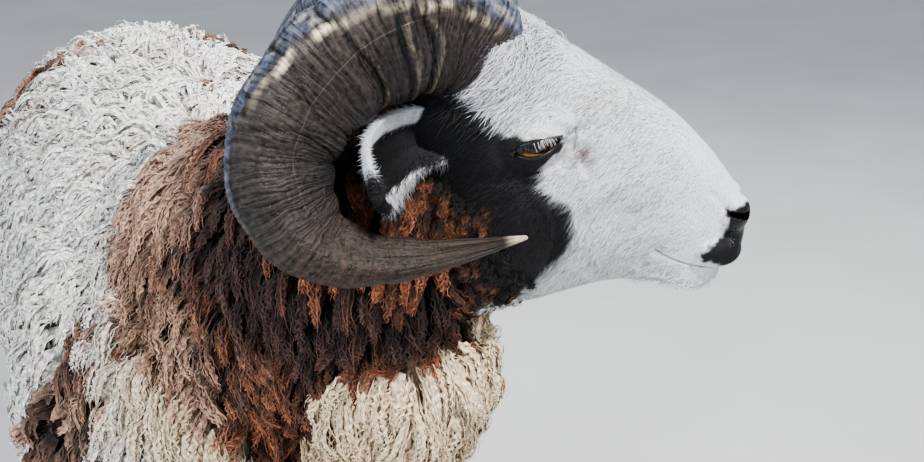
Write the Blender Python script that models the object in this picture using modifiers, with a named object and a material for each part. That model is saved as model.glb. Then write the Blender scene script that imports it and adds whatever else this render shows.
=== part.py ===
"""A life-size Jacob ram in full fleece, standing square with its head turned to its left.

The body frame has +X ahead, +Y to the ram's left and +Z up, with the ground at Z = 0.
The head has a frame of its own: x ahead, y to the left, z up, with the origin midway
between the eyes. Every size is in metres.
"""

import math

import bmesh
import bpy
import numpy as np
from mathutils import Matrix, Vector
from mathutils.bvhtree import BVHTree

GAP = 0.0003  # between pieces that touch
SEED = 11
SIDES = ((-1, "right"), (1, "left"))

# Stance
HEAD_TURN = math.radians(71)  # the head's heading, to the left of the body's
EYES = Vector((0.455, 0.185, 0.780))  # midway between the eyes, in the body frame
WOOL_RISE = 0.027  # how far the clumps stand above the fleece's core
WOOL_SUNK = 0.013  # how deep their roots go into it
WOOL_SIDES = 5
CORE_VOXEL = 0.012
CORE_ROUNDS = 4
CORE_TRIANGLES = 560

# Fleece outline of the trunk: x, height of the middle, half width, half height
TRUNK = (
    (0.400, 0.520, 0.075, 0.095),
    (0.345, 0.525, 0.138, 0.158),
    (0.250, 0.530, 0.174, 0.190),
    (0.100, 0.535, 0.194, 0.195),
    (-0.080, 0.540, 0.200, 0.190),
    (-0.220, 0.550, 0.196, 0.178),
    (-0.340, 0.556, 0.178, 0.160),
    (-0.410, 0.570, 0.138, 0.126),
    (-0.450, 0.585, 0.060, 0.070),
)
SHOULDER = ((0.235, 0.120, 0.500), (0.110, 0.072, 0.160))  # centre, radii
THIGH = ((-0.310, 0.105, 0.505), (0.130, 0.088, 0.165))
TRUNK_RINGS = 26
TRUNK_SIDES = 28
TRUNK_LEAST = 0.012  # the smallest radius of the trunk's core

# Clumps and locks of wool: how far any spot may lie from a root, length, width
BODY_CLUMP = (0.092, 0.114, 0.107)
BODY_LIE = Vector((-0.45, 0.0, -0.90))
NECK_LIE = Vector((-0.25, 0.0, -1.00))
NECK_LOCK = (0.056, 0.105, 0.066)
NECK_LOCK_CLEAR = 0.014  # from the back of the head to the nearest root
TAIL_CLUMP = (0.045, 0.075, 0.052)
CLUMP_STRAY = 0.16  # how unevenly the clumps point
CLUMP_LENGTHS = (0.90, 1.15)
CLUMP_WIDTHS = (0.92, 1.12)
CLUMP_RISES = (0.56, 0.26)  # height of a clump's middle and tip over the core, of WOOL_RISE
CLUMP_MIDDLE = 0.48  # how far along the clump its middle is
# Along a clump: share of the way, half width and half depth as shares of its width and rise
CLUMP_SHAPE = ((0.0, 0.34, 0.45), (0.34, 0.52, 0.56), (0.70, 0.46, 0.48), (1.0, 0.22, 0.22))

# Neck: fleece radii beside and above the axis, from the trunk to the head
NECK_START = Vector((0.200, 0.000, 0.560))
NECK_LEAVES = Vector((0.115, 0.004, 0.075))
NECK_END = Vector((-0.078, 0.000, -0.018))  # in the head frame
NECK_ARRIVES = Vector((0.030, 0.000, 0.100))  # in the head frame
THROAT = (Vector((-0.098, 0.000, -0.188)), (0.086, 0.082, 0.092))  # in the head frame
NECK_RADII = ((0.150, 0.155), (0.138, 0.148), (0.120, 0.134), (0.108, 0.124), (0.090, 0.105))
NECK_RINGS = 17
NECK_SIDES = 24

# Legs: x, y, z of the bone, half width, half depth, from inside the body to the coronet
FORELEG = (
    (0.245, 0.110, 0.460, 0.052, 0.070),
    (0.248, 0.104, 0.390, 0.044, 0.055),
    (0.252, 0.100, 0.330, 0.036, 0.043),
    (0.257, 0.098, 0.275, 0.027, 0.030),
    (0.262, 0.097, 0.235, 0.028, 0.029),
    (0.259, 0.097, 0.200, 0.021, 0.021),
    (0.256, 0.097, 0.140, 0.0165, 0.0185),
    (0.254, 0.097, 0.092, 0.022, 0.024),
    (0.262, 0.097, 0.060, 0.021, 0.020),
    (0.268, 0.097, 0.036, 0.025, 0.027),
)
HINDLEG = (
    (-0.300, 0.112, 0.500, 0.058, 0.100),
    (-0.318, 0.108, 0.420, 0.050, 0.072),
    (-0.348, 0.104, 0.350, 0.036, 0.046),
    (-0.372, 0.101, 0.300, 0.026, 0.035),
    (-0.376, 0.100, 0.272, 0.024, 0.034),
    (-0.370, 0.100, 0.232, 0.021, 0.026),
    (-0.362, 0.100, 0.160, 0.018, 0.020),
    (-0.357, 0.100, 0.096, 0.024, 0.026),
    (-0.348, 0.100, 0.062, 0.022, 0.021),
    (-0.341, 0.100, 0.036, 0.026, 0.028),
)
LEGS = ((FORELEG, 0.325, "fore"), (HINDLEG, 0.385, "hind"))  # with the height of each leg's cut
LEG_SIDES = 12
LEG_ROOM = 0.0010  # between a leg and the wool that hangs round its top
LEG_CLEAR = 0.085  # from a leg's bare top to the nearest roots of the fleece
HOOF_TOP = 0.036
HOOF_LENGTH = 0.060
CLAW_WIDTH = 0.0245
CLAW_SPLIT = 0.0015  # half the cleft between the two claws
CLAW_ROWS = ((0.0, 1.0, 0.004), (0.012, 0.98, 0.003), (HOOF_TOP - GAP, 0.84, -0.004))  # z, size, lead
CLAW_SIDES = 12
CLAW_POINT = 0.45  # how much the toe narrows

# Head outline: x, top, bottom, half width of the skull, half width of the jaw
HEAD = (
    (-0.110, 0.060, -0.100, 0.060, 0.050),
    (-0.070, 0.082, -0.122, 0.068, 0.056),
    (-0.030, 0.089, -0.132, 0.066, 0.056),
    (0.000, 0.076, -0.134, 0.060, 0.050),
    (0.030, 0.059, -0.126, 0.052, 0.043),
    (0.060, 0.040, -0.1185, 0.044, 0.037),
    (0.090, 0.021, -0.119, 0.039, 0.032),
    (0.112, 0.004, -0.123, 0.037, 0.028),
    (0.132, -0.018, -0.117, 0.035, 0.024),
    (0.146, -0.036, -0.104, 0.032, 0.021),
    (0.157, -0.050, -0.098, 0.025, 0.017),
    (0.1628, -0.064, -0.084, 0.010, 0.008),
)
HEAD_RINGS = 34
HEAD_SIDES = 28
HEAD_SQUARENESS = 2.4
HEAD_VOXEL = 0.004
HEAD_ROUNDS = 3
HEAD_TRIANGLES = 1500
CHIN = ((0.118, 0.0, -0.108), (0.026, 0.024, 0.0165))
# Swellings on both sides of the head: centre, radii, turn
SWELLINGS = (
    ((-0.002, 0.046, 0.004), (0.032, 0.0205, 0.024), -0.3),  # rim of the orbit
    ((-0.034, 0.044, -0.066), (0.052, 0.024, 0.058), 0.2),  # cheek muscle
    ((-0.040, 0.034, 0.052), (0.040, 0.034, 0.040), 0.0),  # horn seat
    ((0.149, 0.0175, -0.062), (0.0145, 0.0155, 0.0165), 0.5),  # wing of the nostril
    ((0.136, 0.019, -0.088), (0.020, 0.015, 0.014), 0.0),  # upper lip
)
EYE_SIDE = 0.0475  # from the middle of the head to an eyeball's centre
EYE_RADIUS = 0.0155
LID_THICKNESS = 0.0030
EYE_REAR = Vector((-0.0145, 0.0, -0.0030))  # corners of the opening between the lids
EYE_FRONT = Vector((0.0210, 0.0, 0.0075))
EYE_OPENING = 0.0125
OPENING_DEPTHS = (EYE_SIDE + 0.003, EYE_SIDE + 0.030)
OPENING_SIDES = 12
LOWER_LID_DROP = 1.15  # how much further the opening goes down than up
MOUTH = ((0.092, -0.0865), (0.108, -0.0960), (0.126, -0.1015), (0.142, -0.1015), (0.175, -0.0935))
MOUTH_WIDTH = 0.0022
MOUTH_DEPTH = 0.0050
MOUTH_REACH = 0.070  # of the sheet that cuts it, to either side
MOUTH_STEPS = 11
# Nostril: x, y, z, half height, from its rear end to the front of the nose
NOSTRIL = ((0.140, 0.0315, -0.0560, 0.0012), (0.147, 0.0280, -0.0585, 0.0030),
           (0.156, 0.0210, -0.0620, 0.0046), (0.166, 0.0190, -0.0655, 0.0040))
NOSTRIL_STRETCH = 1.6
NOSTRIL_SIDES = 8
NECK_PLANE = Vector((-0.066, 0.0, -0.030))  # where the head leaves the neck
NECK_NORMAL = Vector((0.934, 0.0, 0.354))
TRUNK_PLANE = Vector((0.275, 0.0, 0.600))  # where the neck leaves the trunk
TRUNK_NORMAL = Vector((0.750, 0.060, 0.660))
NECK_ROOTS_FROM = 0.020  # how far ahead of that plane the neck's locks begin
BODY_ROOTS_TO = -0.030  # and how far behind it the trunk's clumps end

# Horn: x, side, z of the axis in the head frame, half width across the curl, half depth
HORN = (
    (-0.020, 0.026, 0.030, 0.034, 0.028),
    (-0.0400, 0.036, 0.066, 0.039, 0.030),
    (-0.0640, 0.052, 0.0835, 0.042, 0.032),
    (-0.0950, 0.074, 0.0840, 0.042, 0.033),
    (-0.1280, 0.094, 0.0710, 0.040, 0.032),
    (-0.1550, 0.112, 0.0450, 0.0375, 0.031),
    (-0.1690, 0.125, 0.0120, 0.0355, 0.030),
    (-0.1620, 0.133, -0.0220, 0.0320, 0.028),
    (-0.1420, 0.137, -0.0450, 0.0255, 0.024),
    (-0.1120, 0.136, -0.0550, 0.0185, 0.019),
    (-0.0780, 0.131, -0.0560, 0.0125, 0.014),
    (-0.0440, 0.124, -0.0520, 0.0075, 0.009),
    (-0.0060, 0.115, -0.0460, 0.0015, 0.0015),
)
HORN_HUB = (-0.085, 0.105, 0.008)  # what the horn curls round
HORN_RINGS = 32
HORN_SIDES = 12
HORN_CORNERS = 0.12  # how three-cornered the horn is
HORN_RIDGE_AT = math.radians(55)  # from the outside of the curl towards the horn's outer face
HORN_GROWTH = 0.035  # rise of the growth rings, as a share of the horn's radius
HORN_WAVES = 11

# Ear: root, middle and tip of its axis in the head frame, and its widest half width
EAR_ROOT = Vector((-0.0620, 0.050, 0.0100))
EAR_MIDDLE = Vector((-0.0995, 0.100, 0.0035))
EAR_TIP = Vector((-0.0975, 0.146, -0.0150))
EAR_ACROSS = Vector((-0.61, 0.20, 1.25))
EAR_HALF_WIDTH = 0.0245
EAR_STEPS = 9
EAR_RIBS = 7
EAR_CUP = 0.015
EAR_THICKNESS = 0.0040

# Tail: x, z of the axis and fleece radius
TAIL = ((-0.405, 0.655, 0.040), (-0.455, 0.630, 0.050), (-0.478, 0.560, 0.050),
        (-0.483, 0.480, 0.046), (-0.482, 0.420, 0.034), (-0.480, 0.395, 0.014))
TAIL_BOX = ((-0.62, -0.075, 0.330), (-0.446, 0.075, 0.672))
TAIL_ROOM = (-0.37, 0.085, 0.70)  # the trunk's clumps stay out of the space behind, beside and below
TAIL_ROOTS = (-0.456, 0.070, 0.62)  # the tail's own clumps grow in the space behind, beside and below
TAIL_RINGS = 11
TAIL_SIDES = 12
TAIL_LEAST = 0.006  # the smallest radius of the tail's core
TAIL_FLATNESS = 0.75

MATERIALS = {
    "fleece_white": ((0.80, 0.77, 0.70), 0.95),
    "fleece_brown": ((0.20, 0.09, 0.05), 0.95),
    "face": ((0.82, 0.80, 0.77), 0.80),
    "leg": ((0.80, 0.77, 0.72), 0.80),
    "horn": ((0.16, 0.13, 0.12), 0.50),
    "ear": ((0.05, 0.05, 0.06), 0.80),
    "eye": ((0.45, 0.24, 0.07), 0.10),
    "hoof": ((0.07, 0.06, 0.06), 0.45),
}


def clear_scene():
    for old in list(bpy.data.objects):
        bpy.data.objects.remove(old, do_unlink=True)


def collection(name):
    made = bpy.data.collections.new(name)
    bpy.context.scene.collection.children.link(made)
    return made


def material(name):
    colour, roughness = MATERIALS[name]
    made = bpy.data.materials.get(name) or bpy.data.materials.new(name)
    made.use_nodes = True
    shader = made.node_tree.nodes["Principled BSDF"]
    shader.inputs["Base Color"].default_value = (*colour, 1.0)
    shader.inputs["Roughness"].default_value = roughness
    shader.inputs["Metallic"].default_value = 0.0
    return made


def head_to_body(point):
    """A point of the head frame, in the body frame."""
    return EYES + Matrix.Rotation(HEAD_TURN, 3, "Z") @ Vector(point)


def smooth_rows(rows, count):
    """Rows of numbers, read at count even steps along a Catmull-Rom curve through them."""
    rows = np.array(rows, float)
    padded = np.vstack([2 * rows[0] - rows[1], rows, 2 * rows[-1] - rows[-2]])
    read = []
    for at in np.linspace(0, len(rows) - 1, count):
        i = min(int(at), len(rows) - 2)
        t = at - i
        a, b, c, d = padded[i : i + 4]
        read.append(0.5 * (2 * b + (c - a) * t + (2 * a - 5 * b + 4 * c - d) * t**2
                           + (3 * b - a - 3 * c + d) * t**3))
    return np.array(read)


def mesh_object(name, bm):
    bmesh.ops.recalc_face_normals(bm, faces=bm.faces)
    mesh = bpy.data.meshes.new(name)
    bm.to_mesh(mesh)
    bm.free()
    made = bpy.data.objects.new(name, mesh)
    bpy.context.scene.collection.objects.link(made)
    return made


def loft(name, rings):
    """One closed body through rings of the same number of points."""
    bm = bmesh.new()
    rows = [[bm.verts.new(point) for point in ring] for ring in rings]
    sides = len(rows[0])
    for first, second in zip(rows, rows[1:]):
        for i in range(sides):
            j = (i + 1) % sides
            bm.faces.new((first[i], first[j], second[j], second[i]))
    bm.faces.new(rows[0])
    bm.faces.new(rows[-1])
    return mesh_object(name, bm)


def oval(centre, across, along, half_across, half_along, sides):
    """Points of an ellipse in the plane of two directions."""
    angles = [2 * math.pi * (i + 0.5) / sides for i in range(sides)]
    return [centre + across * half_across * math.cos(a) + along * half_along * math.sin(a)
            for a in angles]


def ellipsoid(name, centre, radii, turn=0.0):
    bm = bmesh.new()
    bmesh.ops.create_uvsphere(bm, u_segments=20, v_segments=12, radius=1.0)
    place = (Matrix.Translation(centre) @ Matrix.Rotation(turn, 4, "Y")
             @ Matrix.Diagonal((*radii, 1.0)))
    bmesh.ops.transform(bm, matrix=place, verts=bm.verts)
    return mesh_object(name, bm)


def remove(*objects):
    for old in objects:
        bpy.data.objects.remove(old, do_unlink=True)


def evaluated_mesh(obj):
    graph = bpy.context.evaluated_depsgraph_get()
    graph.update()
    return bpy.data.meshes.new_from_object(obj.evaluated_get(graph))


def apply_modifiers(obj):
    made = evaluated_mesh(obj)
    obj.modifiers.clear()
    obj.data = made
    return obj


def join(name, pieces):
    """The pieces as one object, still as loose bodies."""
    bm = bmesh.new()
    for piece in pieces:
        bm.from_mesh(piece.data)
    joined = bpy.data.meshes.new(name)
    bm.to_mesh(joined)
    bm.free()
    remove(*pieces)
    made = bpy.data.objects.new(name, joined)
    bpy.context.scene.collection.objects.link(made)
    return made


def blended(name, pieces, voxel, rounds):
    """The pieces melted into one soft body."""
    made = join(name, pieces)
    remesh = made.modifiers.new("melt", "REMESH")
    remesh.mode = "VOXEL"
    remesh.voxel_size = voxel
    soften = made.modifiers.new("soften", "SMOOTH")
    soften.factor = 0.5
    soften.iterations = rounds
    return apply_modifiers(made)


def decimated(obj, triangles):
    obj.data.calc_loop_triangles()
    collapse = obj.modifiers.new("collapse", "DECIMATE")
    collapse.ratio = min(1.0, triangles / len(obj.data.loop_triangles))
    return apply_modifiers(obj)


def boolean(obj, operation, others):
    """Joins, cuts or keeps with each of the other objects, which are then removed."""
    pieces = collection("boolean pieces")
    for other in others:
        for home in list(other.users_collection):
            home.objects.unlink(other)
        pieces.objects.link(other)
    step = obj.modifiers.new("boolean", "BOOLEAN")
    step.operation = operation
    step.operand_type = "COLLECTION"
    step.collection = pieces
    step.solver = "MANIFOLD"
    apply_modifiers(obj)
    remove(*others)
    bpy.data.collections.remove(pieces)
    return obj


def largest_body(obj):
    """Drops all but the largest closed surface."""
    bm = bmesh.new()
    bm.from_mesh(obj.data)
    left, bodies = set(bm.faces), []
    while left:
        body, todo = set(), [left.pop()]
        while todo:
            face = todo.pop()
            body.add(face)
            for edge in face.edges:
                if len(edge.link_faces) != 2:
                    continue
                for other in edge.link_faces:
                    if other in left:
                        left.remove(other)
                        todo.append(other)
        bodies.append(body)
    bodies.sort(key=lambda body: sum(face.calc_area() for face in body))
    for body in bodies[:-1]:
        bmesh.ops.delete(bm, geom=list(body), context="FACES")
    bm.to_mesh(obj.data)
    bm.free()
    return obj


def copied(obj, name, swell=0.0):
    """A copy whose surface stands out by swell."""
    made = obj.copy()
    made.data = obj.data.copy()
    made.name = name
    bpy.context.scene.collection.objects.link(made)
    if swell:
        step = made.modifiers.new("swell", "DISPLACE")
        step.strength = swell
        step.mid_level = 0.0
        apply_modifiers(made)
    return made


def half_space(point, normal, shift):
    """A large block whose near face lies on a plane, moved by shift along the normal."""
    size = 4.0
    bm = bmesh.new()
    bmesh.ops.create_cube(bm, size=size)
    normal = Vector(normal).normalized()
    turn = Vector((0, 0, 1)).rotation_difference(normal).to_matrix().to_4x4()
    place = Matrix.Translation(Vector(point) + normal * (shift + size / 2)) @ turn
    bmesh.ops.transform(bm, matrix=place, verts=bm.verts)
    return mesh_object("half space", bm)


def box(low, high):
    low, high = Vector(low), Vector(high)
    bm = bmesh.new()
    bmesh.ops.create_cube(bm, size=1.0)
    size = high - low
    place = Matrix.Translation((low + high) / 2) @ Matrix.Diagonal((*size, 1.0))
    bmesh.ops.transform(bm, matrix=place, verts=bm.verts)
    return mesh_object("box", bm)


def turned_normal():
    """The normal of the plane between head and neck, in the body frame."""
    return Matrix.Rotation(HEAD_TURN, 3, "Z") @ NECK_NORMAL


def finish(obj, name, slot):
    """Gives a body its node name and its material."""
    obj.name = name
    obj.data.name = name
    obj.data.materials.clear()
    obj.data.materials.append(material(slot))
    for home in list(obj.users_collection):
        home.objects.unlink(obj)
    bpy.data.collections["jacob ram"].objects.link(obj)
    return obj


def trunk(inset):
    """The trunk's fleece, drawn in by inset."""
    rings = []
    for x, z, half_width, half_height in smooth_rows(TRUNK, TRUNK_RINGS):
        rings.append(oval(Vector((x, 0, z)), Vector((0, 1, 0)), Vector((0, 0, 1)),
                          max(TRUNK_LEAST, half_width - inset), max(TRUNK_LEAST, half_height - inset),
                          TRUNK_SIDES))
    pieces = [loft("trunk", rings)]
    for side, _ in SIDES:
        for centre, radii in (SHOULDER, THIGH):
            place = Vector((centre[0], centre[1] * side, centre[2]))
            pieces.append(ellipsoid("muscle", place, [r - inset for r in radii]))
    return pieces


def throat(inset):
    """The wool under the jaw, which joins the neck to the chest."""
    place, radii = THROAT
    return ellipsoid("throat", head_to_body(place), [r - inset for r in radii])


def neck(inset):
    """The neck's fleece along a Bezier curve from the trunk to the back of the head."""
    start, end = NECK_START, head_to_body(NECK_END)
    arrives = Matrix.Rotation(HEAD_TURN, 3, "Z") @ NECK_ARRIVES
    one, two = start + NECK_LEAVES, end - arrives
    rings = []
    for t, (side, rise) in zip(np.linspace(0, 1, NECK_RINGS), smooth_rows(NECK_RADII, NECK_RINGS)):
        u = 1 - t
        place = start * u**3 + one * 3 * u * u * t + two * 3 * u * t * t + end * t**3
        ahead = ((one - start) * u * u + (two - one) * 2 * u * t + (end - two) * t * t).normalized()
        across = Vector((0, 0, 1)).cross(ahead).normalized()
        above = ahead.cross(across)
        rings.append(oval(place, across, above, side - inset, rise - inset, NECK_SIDES))
    return loft("neck", rings)


def leg(rows, side, inset=0.0):
    """A leg as upright ovals from inside the body down to the coronet."""
    rings = []
    for x, y, z, half_width, half_depth in rows:
        rings.append(oval(Vector((x, y * side, z)), Vector((1, 0, 0)), Vector((0, 1, 0)),
                          half_depth - inset, half_width - inset, LEG_SIDES))
    return loft("leg", rings)


def claw(x, y, side, name):
    """One of a hoof's two claws: flat below, pointed at the toe."""
    rings = []
    for height, share, lead in CLAW_ROWS:
        ring = []
        for i in range(CLAW_SIDES):
            angle = 2 * math.pi * i / CLAW_SIDES
            along = math.cos(angle)
            width = math.sin(angle) * (1.0 - CLAW_POINT * max(0.0, along) ** 1.5)
            middle = CLAW_SPLIT + CLAW_WIDTH / 2
            ring.append(Vector((x + lead + along * share * HOOF_LENGTH / 2,
                                y + side * (middle + side * width * share * CLAW_WIDTH / 2),
                                height)))
        rings.append(ring)
    return finish(loft(name, rings), name, "hoof")


def head_body():
    """Skull, cheeks, brow, nostrils and chin melted together, in the head frame."""
    rings = []
    power = 2 / HEAD_SQUARENESS
    for x, top, bottom, skull, jaw in smooth_rows(HEAD, HEAD_RINGS):
        ring = []
        for i in range(HEAD_SIDES):
            angle = 2 * math.pi * (i + 0.5) / HEAD_SIDES
            across = math.copysign(abs(math.cos(angle)) ** power, math.cos(angle))
            up = math.copysign(abs(math.sin(angle)) ** power, math.sin(angle))
            width = jaw + (skull - jaw) * (0.5 + 0.5 * up)
            ring.append(Vector((x, across * width, (top + bottom) / 2 + up * (top - bottom) / 2)))
        rings.append(ring)
    pieces = [loft("skull", rings), ellipsoid("chin", *CHIN)]
    for side, _ in SIDES:
        for centre, radii, turn in SWELLINGS:
            place = (centre[0], centre[1] * side, centre[2])
            pieces.append(ellipsoid("swelling", place, radii, turn))
    return decimated(blended("head", pieces, HEAD_VOXEL, HEAD_ROUNDS), HEAD_TRIANGLES)


def eye_centre(side):
    return Vector((0.0, EYE_SIDE * side, 0.0))


def lids(side):
    """The swelling over the eyeball that the two lids make."""
    bm = bmesh.new()
    radius = EYE_RADIUS + LID_THICKNESS
    bmesh.ops.create_uvsphere(bm, u_segments=18, v_segments=11, radius=radius)
    bmesh.ops.transform(bm, matrix=Matrix.Translation(eye_centre(side)), verts=bm.verts)
    return mesh_object("lids", bm)


def eye_opening(side):
    """A prism through both lids, with an almond for its outline."""
    rings = []
    middle = (EYE_REAR + EYE_FRONT) / 2
    along = (EYE_FRONT - EYE_REAR) / 2
    above = Vector((-along.z, 0, along.x)).normalized() * EYE_OPENING / 2
    for depth in OPENING_DEPTHS:
        ring = []
        for i in range(OPENING_SIDES):
            angle = 2 * math.pi * i / OPENING_SIDES
            lift = math.sin(angle) * (1.0 if math.sin(angle) > 0 else LOWER_LID_DROP)
            point = middle + along * math.cos(angle) + above * lift
            ring.append(Vector((point.x, depth * side, point.z)))
        rings.append(ring)
    return loft("opening", rings)


def ball(name, side, radius):
    """An eyeball, or the socket round it, in the head frame."""
    bm = bmesh.new()
    bmesh.ops.create_uvsphere(bm, u_segments=14, v_segments=9, radius=radius)
    bmesh.ops.rotate(bm, matrix=Matrix.Rotation(math.pi / 2, 3, "X"), verts=bm.verts)
    bmesh.ops.transform(bm, matrix=Matrix.Translation(eye_centre(side)), verts=bm.verts)
    return mesh_object(name, bm)


def mouth_sheet():
    """A thin bent sheet right through the muzzle, along the line of the mouth."""
    rings = []
    line = smooth_rows(MOUTH, MOUTH_STEPS)
    for reach in (-MOUTH_REACH, MOUTH_REACH):
        above = [Vector((x, reach, z + MOUTH_WIDTH / 2)) for x, z in line]
        below = [Vector((x, reach, z - MOUTH_WIDTH / 2)) for x, z in line]
        rings.append(above + below[::-1])
    return loft("mouth", rings)


def nostril(side):
    """A comma of an opening that runs up and back from the end of the nose."""
    rings = []
    for x, y, z, half in NOSTRIL:
        rings.append(oval(Vector((x, y * side, z)), Vector((0.15, side, 0)), Vector((0, 0, 1)),
                          half * NOSTRIL_STRETCH, half, NOSTRIL_SIDES))
    return loft("nostril", rings)


def horn_rings(side, swell=0.0):
    """Sections of a curled horn: three-cornered, ringed, tapering to the tip."""
    rows = smooth_rows(HORN, HORN_RINGS)
    places = [Vector((x, y * side, z)) for x, y, z, _, _ in rows]
    hub = Vector((HORN_HUB[0], HORN_HUB[1] * side, HORN_HUB[2]))
    rings = []
    for i, (row, place) in enumerate(zip(rows, places)):
        ahead = (places[min(i + 1, len(rows) - 1)] - places[max(i - 1, 0)]).normalized()
        outward = place - hub
        outward = (outward - ahead * outward.dot(ahead)).normalized()
        across = ahead.cross(outward).normalized() * side
        wave = 1 + HORN_GROWTH * math.cos(2 * math.pi * HORN_WAVES * i / len(rows))
        ring = []
        for k in range(HORN_SIDES):
            angle = 2 * math.pi * k / HORN_SIDES
            corner = 1 + HORN_CORNERS * math.cos(3 * (angle - HORN_RIDGE_AT))
            reach = corner * wave
            ring.append(place + outward * math.cos(angle) * (row[3] * reach + swell)
                        + across * math.sin(angle) * (row[4] * reach + swell))
        rings.append([head_to_body(point) for point in ring])
    return rings


def ear(name, side, swell=0.0):
    """A cupped leaf on a bent axis, open ahead and outwards."""
    ahead = (EAR_TIP - EAR_ROOT).normalized()
    across = (EAR_ACROSS - ahead * EAR_ACROSS.dot(ahead)).normalized()
    behind = ahead.cross(across).normalized()
    bend = 2 * EAR_MIDDLE - (EAR_ROOT + EAR_TIP) / 2
    bm = bmesh.new()
    rows = []
    for i in range(EAR_STEPS):
        t = i / (EAR_STEPS - 1)
        u = 1 - t
        place = EAR_ROOT * u * u + bend * 2 * u * t + EAR_TIP * t * t
        half = EAR_HALF_WIDTH * (0.42 + 0.62 * math.sin(math.pi * min(1.0, 0.14 + t * 0.83)) ** 0.7)
        half *= math.sqrt(max(0.0, 1 - max(0.0, (t - 0.55) / 0.46) ** 2.2))
        row = []
        for k in range(EAR_RIBS):
            v = 2 * k / (EAR_RIBS - 1) - 1
            roll = EAR_CUP * (1 - 0.55 * t) * (v * v - 0.6)
            point = place + across * half * v * (1 - 0.08 * abs(v)) + behind * roll
            row.append(bm.verts.new(head_to_body((point.x, point.y * side, point.z))))
        rows.append(row)
    for first, second in zip(rows, rows[1:]):
        for k in range(EAR_RIBS - 1):
            for corners in ((first[k], first[k + 1], second[k + 1]), (first[k], second[k + 1], second[k])):
                bm.faces.new(corners)
    made = mesh_object(name, bm)
    shell = made.modifiers.new("thickness", "SOLIDIFY")
    shell.thickness = EAR_THICKNESS + 2 * swell
    shell.offset = 0.0
    return apply_modifiers(made)


def tail(inset):
    """The hanging tail's fleece, drawn in by inset."""
    rings = []
    rows = smooth_rows(TAIL, TAIL_RINGS)
    for i, (x, z, radius) in enumerate(rows):
        before, after = rows[max(i - 1, 0)], rows[min(i + 1, len(rows) - 1)]
        ahead = Vector((after[0] - before[0], 0, after[1] - before[1])).normalized()
        across = Vector((0, 1, 0))
        rings.append(oval(Vector((x, 0, z)), across, ahead.cross(across),
                          max(TAIL_LEAST, radius - inset),
                          max(TAIL_LEAST, (radius - inset) * TAIL_FLATNESS), TAIL_SIDES))
    return loft("tail", rings)


def spread(points, spacing, rng):
    """Picks of the points that lie at least spacing apart, farthest first."""
    points = np.array(points)
    picks = [int(rng.integers(len(points)))]
    nearest = np.linalg.norm(points - points[picks[0]], axis=1)
    while nearest.max() > spacing:
        picks.append(int(nearest.argmax()))
        nearest = np.minimum(nearest, np.linalg.norm(points - points[picks[-1]], axis=1))
    return picks


def wool_piece(tree, root, normal, lie, length, width):
    """A clump or lock: rises from the core, bends over and follows the surface to its tip."""
    ahead = lie - normal * lie.dot(normal)
    ahead = ahead.normalized() if ahead.length > 0.05 else normal.orthogonal().normalized()

    def above(reach, rise):
        place, out = tree.find_nearest(root + ahead * length * reach)[:2]
        return place + out * WOOL_RISE * rise

    low = root - normal * WOOL_SUNK
    middle, end = above(CLUMP_MIDDLE, CLUMP_RISES[0]), above(1.0, CLUMP_RISES[1])
    bend = middle * 2 - (low + end) / 2
    rings = []
    for t, half_width, half_depth in CLUMP_SHAPE:
        u = 1 - t
        place = low * u * u + bend * 2 * u * t + end * t * t
        along = ((bend - low) * u + (end - bend) * t).normalized()
        side = normal.cross(along).normalized()
        rings.append(oval(place, side, along.cross(side), half_width * width,
                          half_depth * WOOL_RISE, WOOL_SIDES))
    return loft("wool piece", rings)


def clumps(surface, sizes, lie, wanted, rng):
    """Wool set evenly on a surface, wherever wanted says so."""
    shape = bmesh.new()
    shape.from_mesh(surface.data)
    tree = BVHTree.FromBMesh(shape)
    shape.free()
    spacing, length, width = sizes
    verts = [v for v in surface.data.vertices if wanted(v.co)]
    made = []
    for pick in spread([tuple(v.co) for v in verts], spacing, rng):
        vert = verts[pick]
        made.append(wool_piece(tree, vert.co.copy(), vert.normal.copy(),
                               lie + Vector(rng.normal(0.0, CLUMP_STRAY, 3)),
                               length * rng.uniform(*CLUMP_LENGTHS), width * rng.uniform(*CLUMP_WIDTHS)))
    return made


def leg_room(rows, side, cut):
    """The space of a leg below its cut, with room round it."""
    room = leg(rows, side, -LEG_ROOM)
    return boolean(room, "INTERSECT", [half_space((0, 0, cut), (0, 0, -1), 0.0)])


def placed_on_head(obj):
    obj.data.transform(Matrix.Translation(EYES) @ Matrix.Rotation(HEAD_TURN, 4, "Z"))
    return obj


def finished_head():
    """The head with lids, mouth and nostrils cut, and a flat back where the neck meets it."""
    head = boolean(head_body(), "UNION", [lids(-1), lids(1)])
    inside = copied(head, "inside", -MOUTH_DEPTH)
    cutters = [boolean(mouth_sheet(), "DIFFERENCE", [inside])]
    for side, _ in SIDES:
        cutters += [ball("socket", side, EYE_RADIUS + GAP), eye_opening(side), nostril(side)]
    for cutter in cutters:
        boolean(head, "DIFFERENCE", [cutter])
    placed_on_head(largest_body(head))
    boolean(head, "INTERSECT", [half_space(head_to_body(NECK_PLANE), turned_normal(), GAP / 2)])
    return finish(largest_body(head), "head", "face")


def head_fittings(swollen):
    """Eyes, horns and ears, which meet the head face to face."""
    for side, hand in SIDES:
        eyeball = placed_on_head(ball("eye_" + hand, side, EYE_RADIUS))
        finish(eyeball, "eye_" + hand, "eye")
        horn = loft("horn_" + hand, horn_rings(side))
        boolean(horn, "DIFFERENCE", [copied(swollen, "seat")])
        finish(largest_body(horn), "horn_" + hand, "horn")
        leaf = ear("ear_" + hand, side)
        boolean(leaf, "DIFFERENCE", [copied(swollen, "seat")])
        boolean(leaf, "DIFFERENCE", [loft("horn room", horn_rings(side, GAP * 2))])
        finish(largest_body(leaf), "ear_" + hand, "ear")


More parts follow.
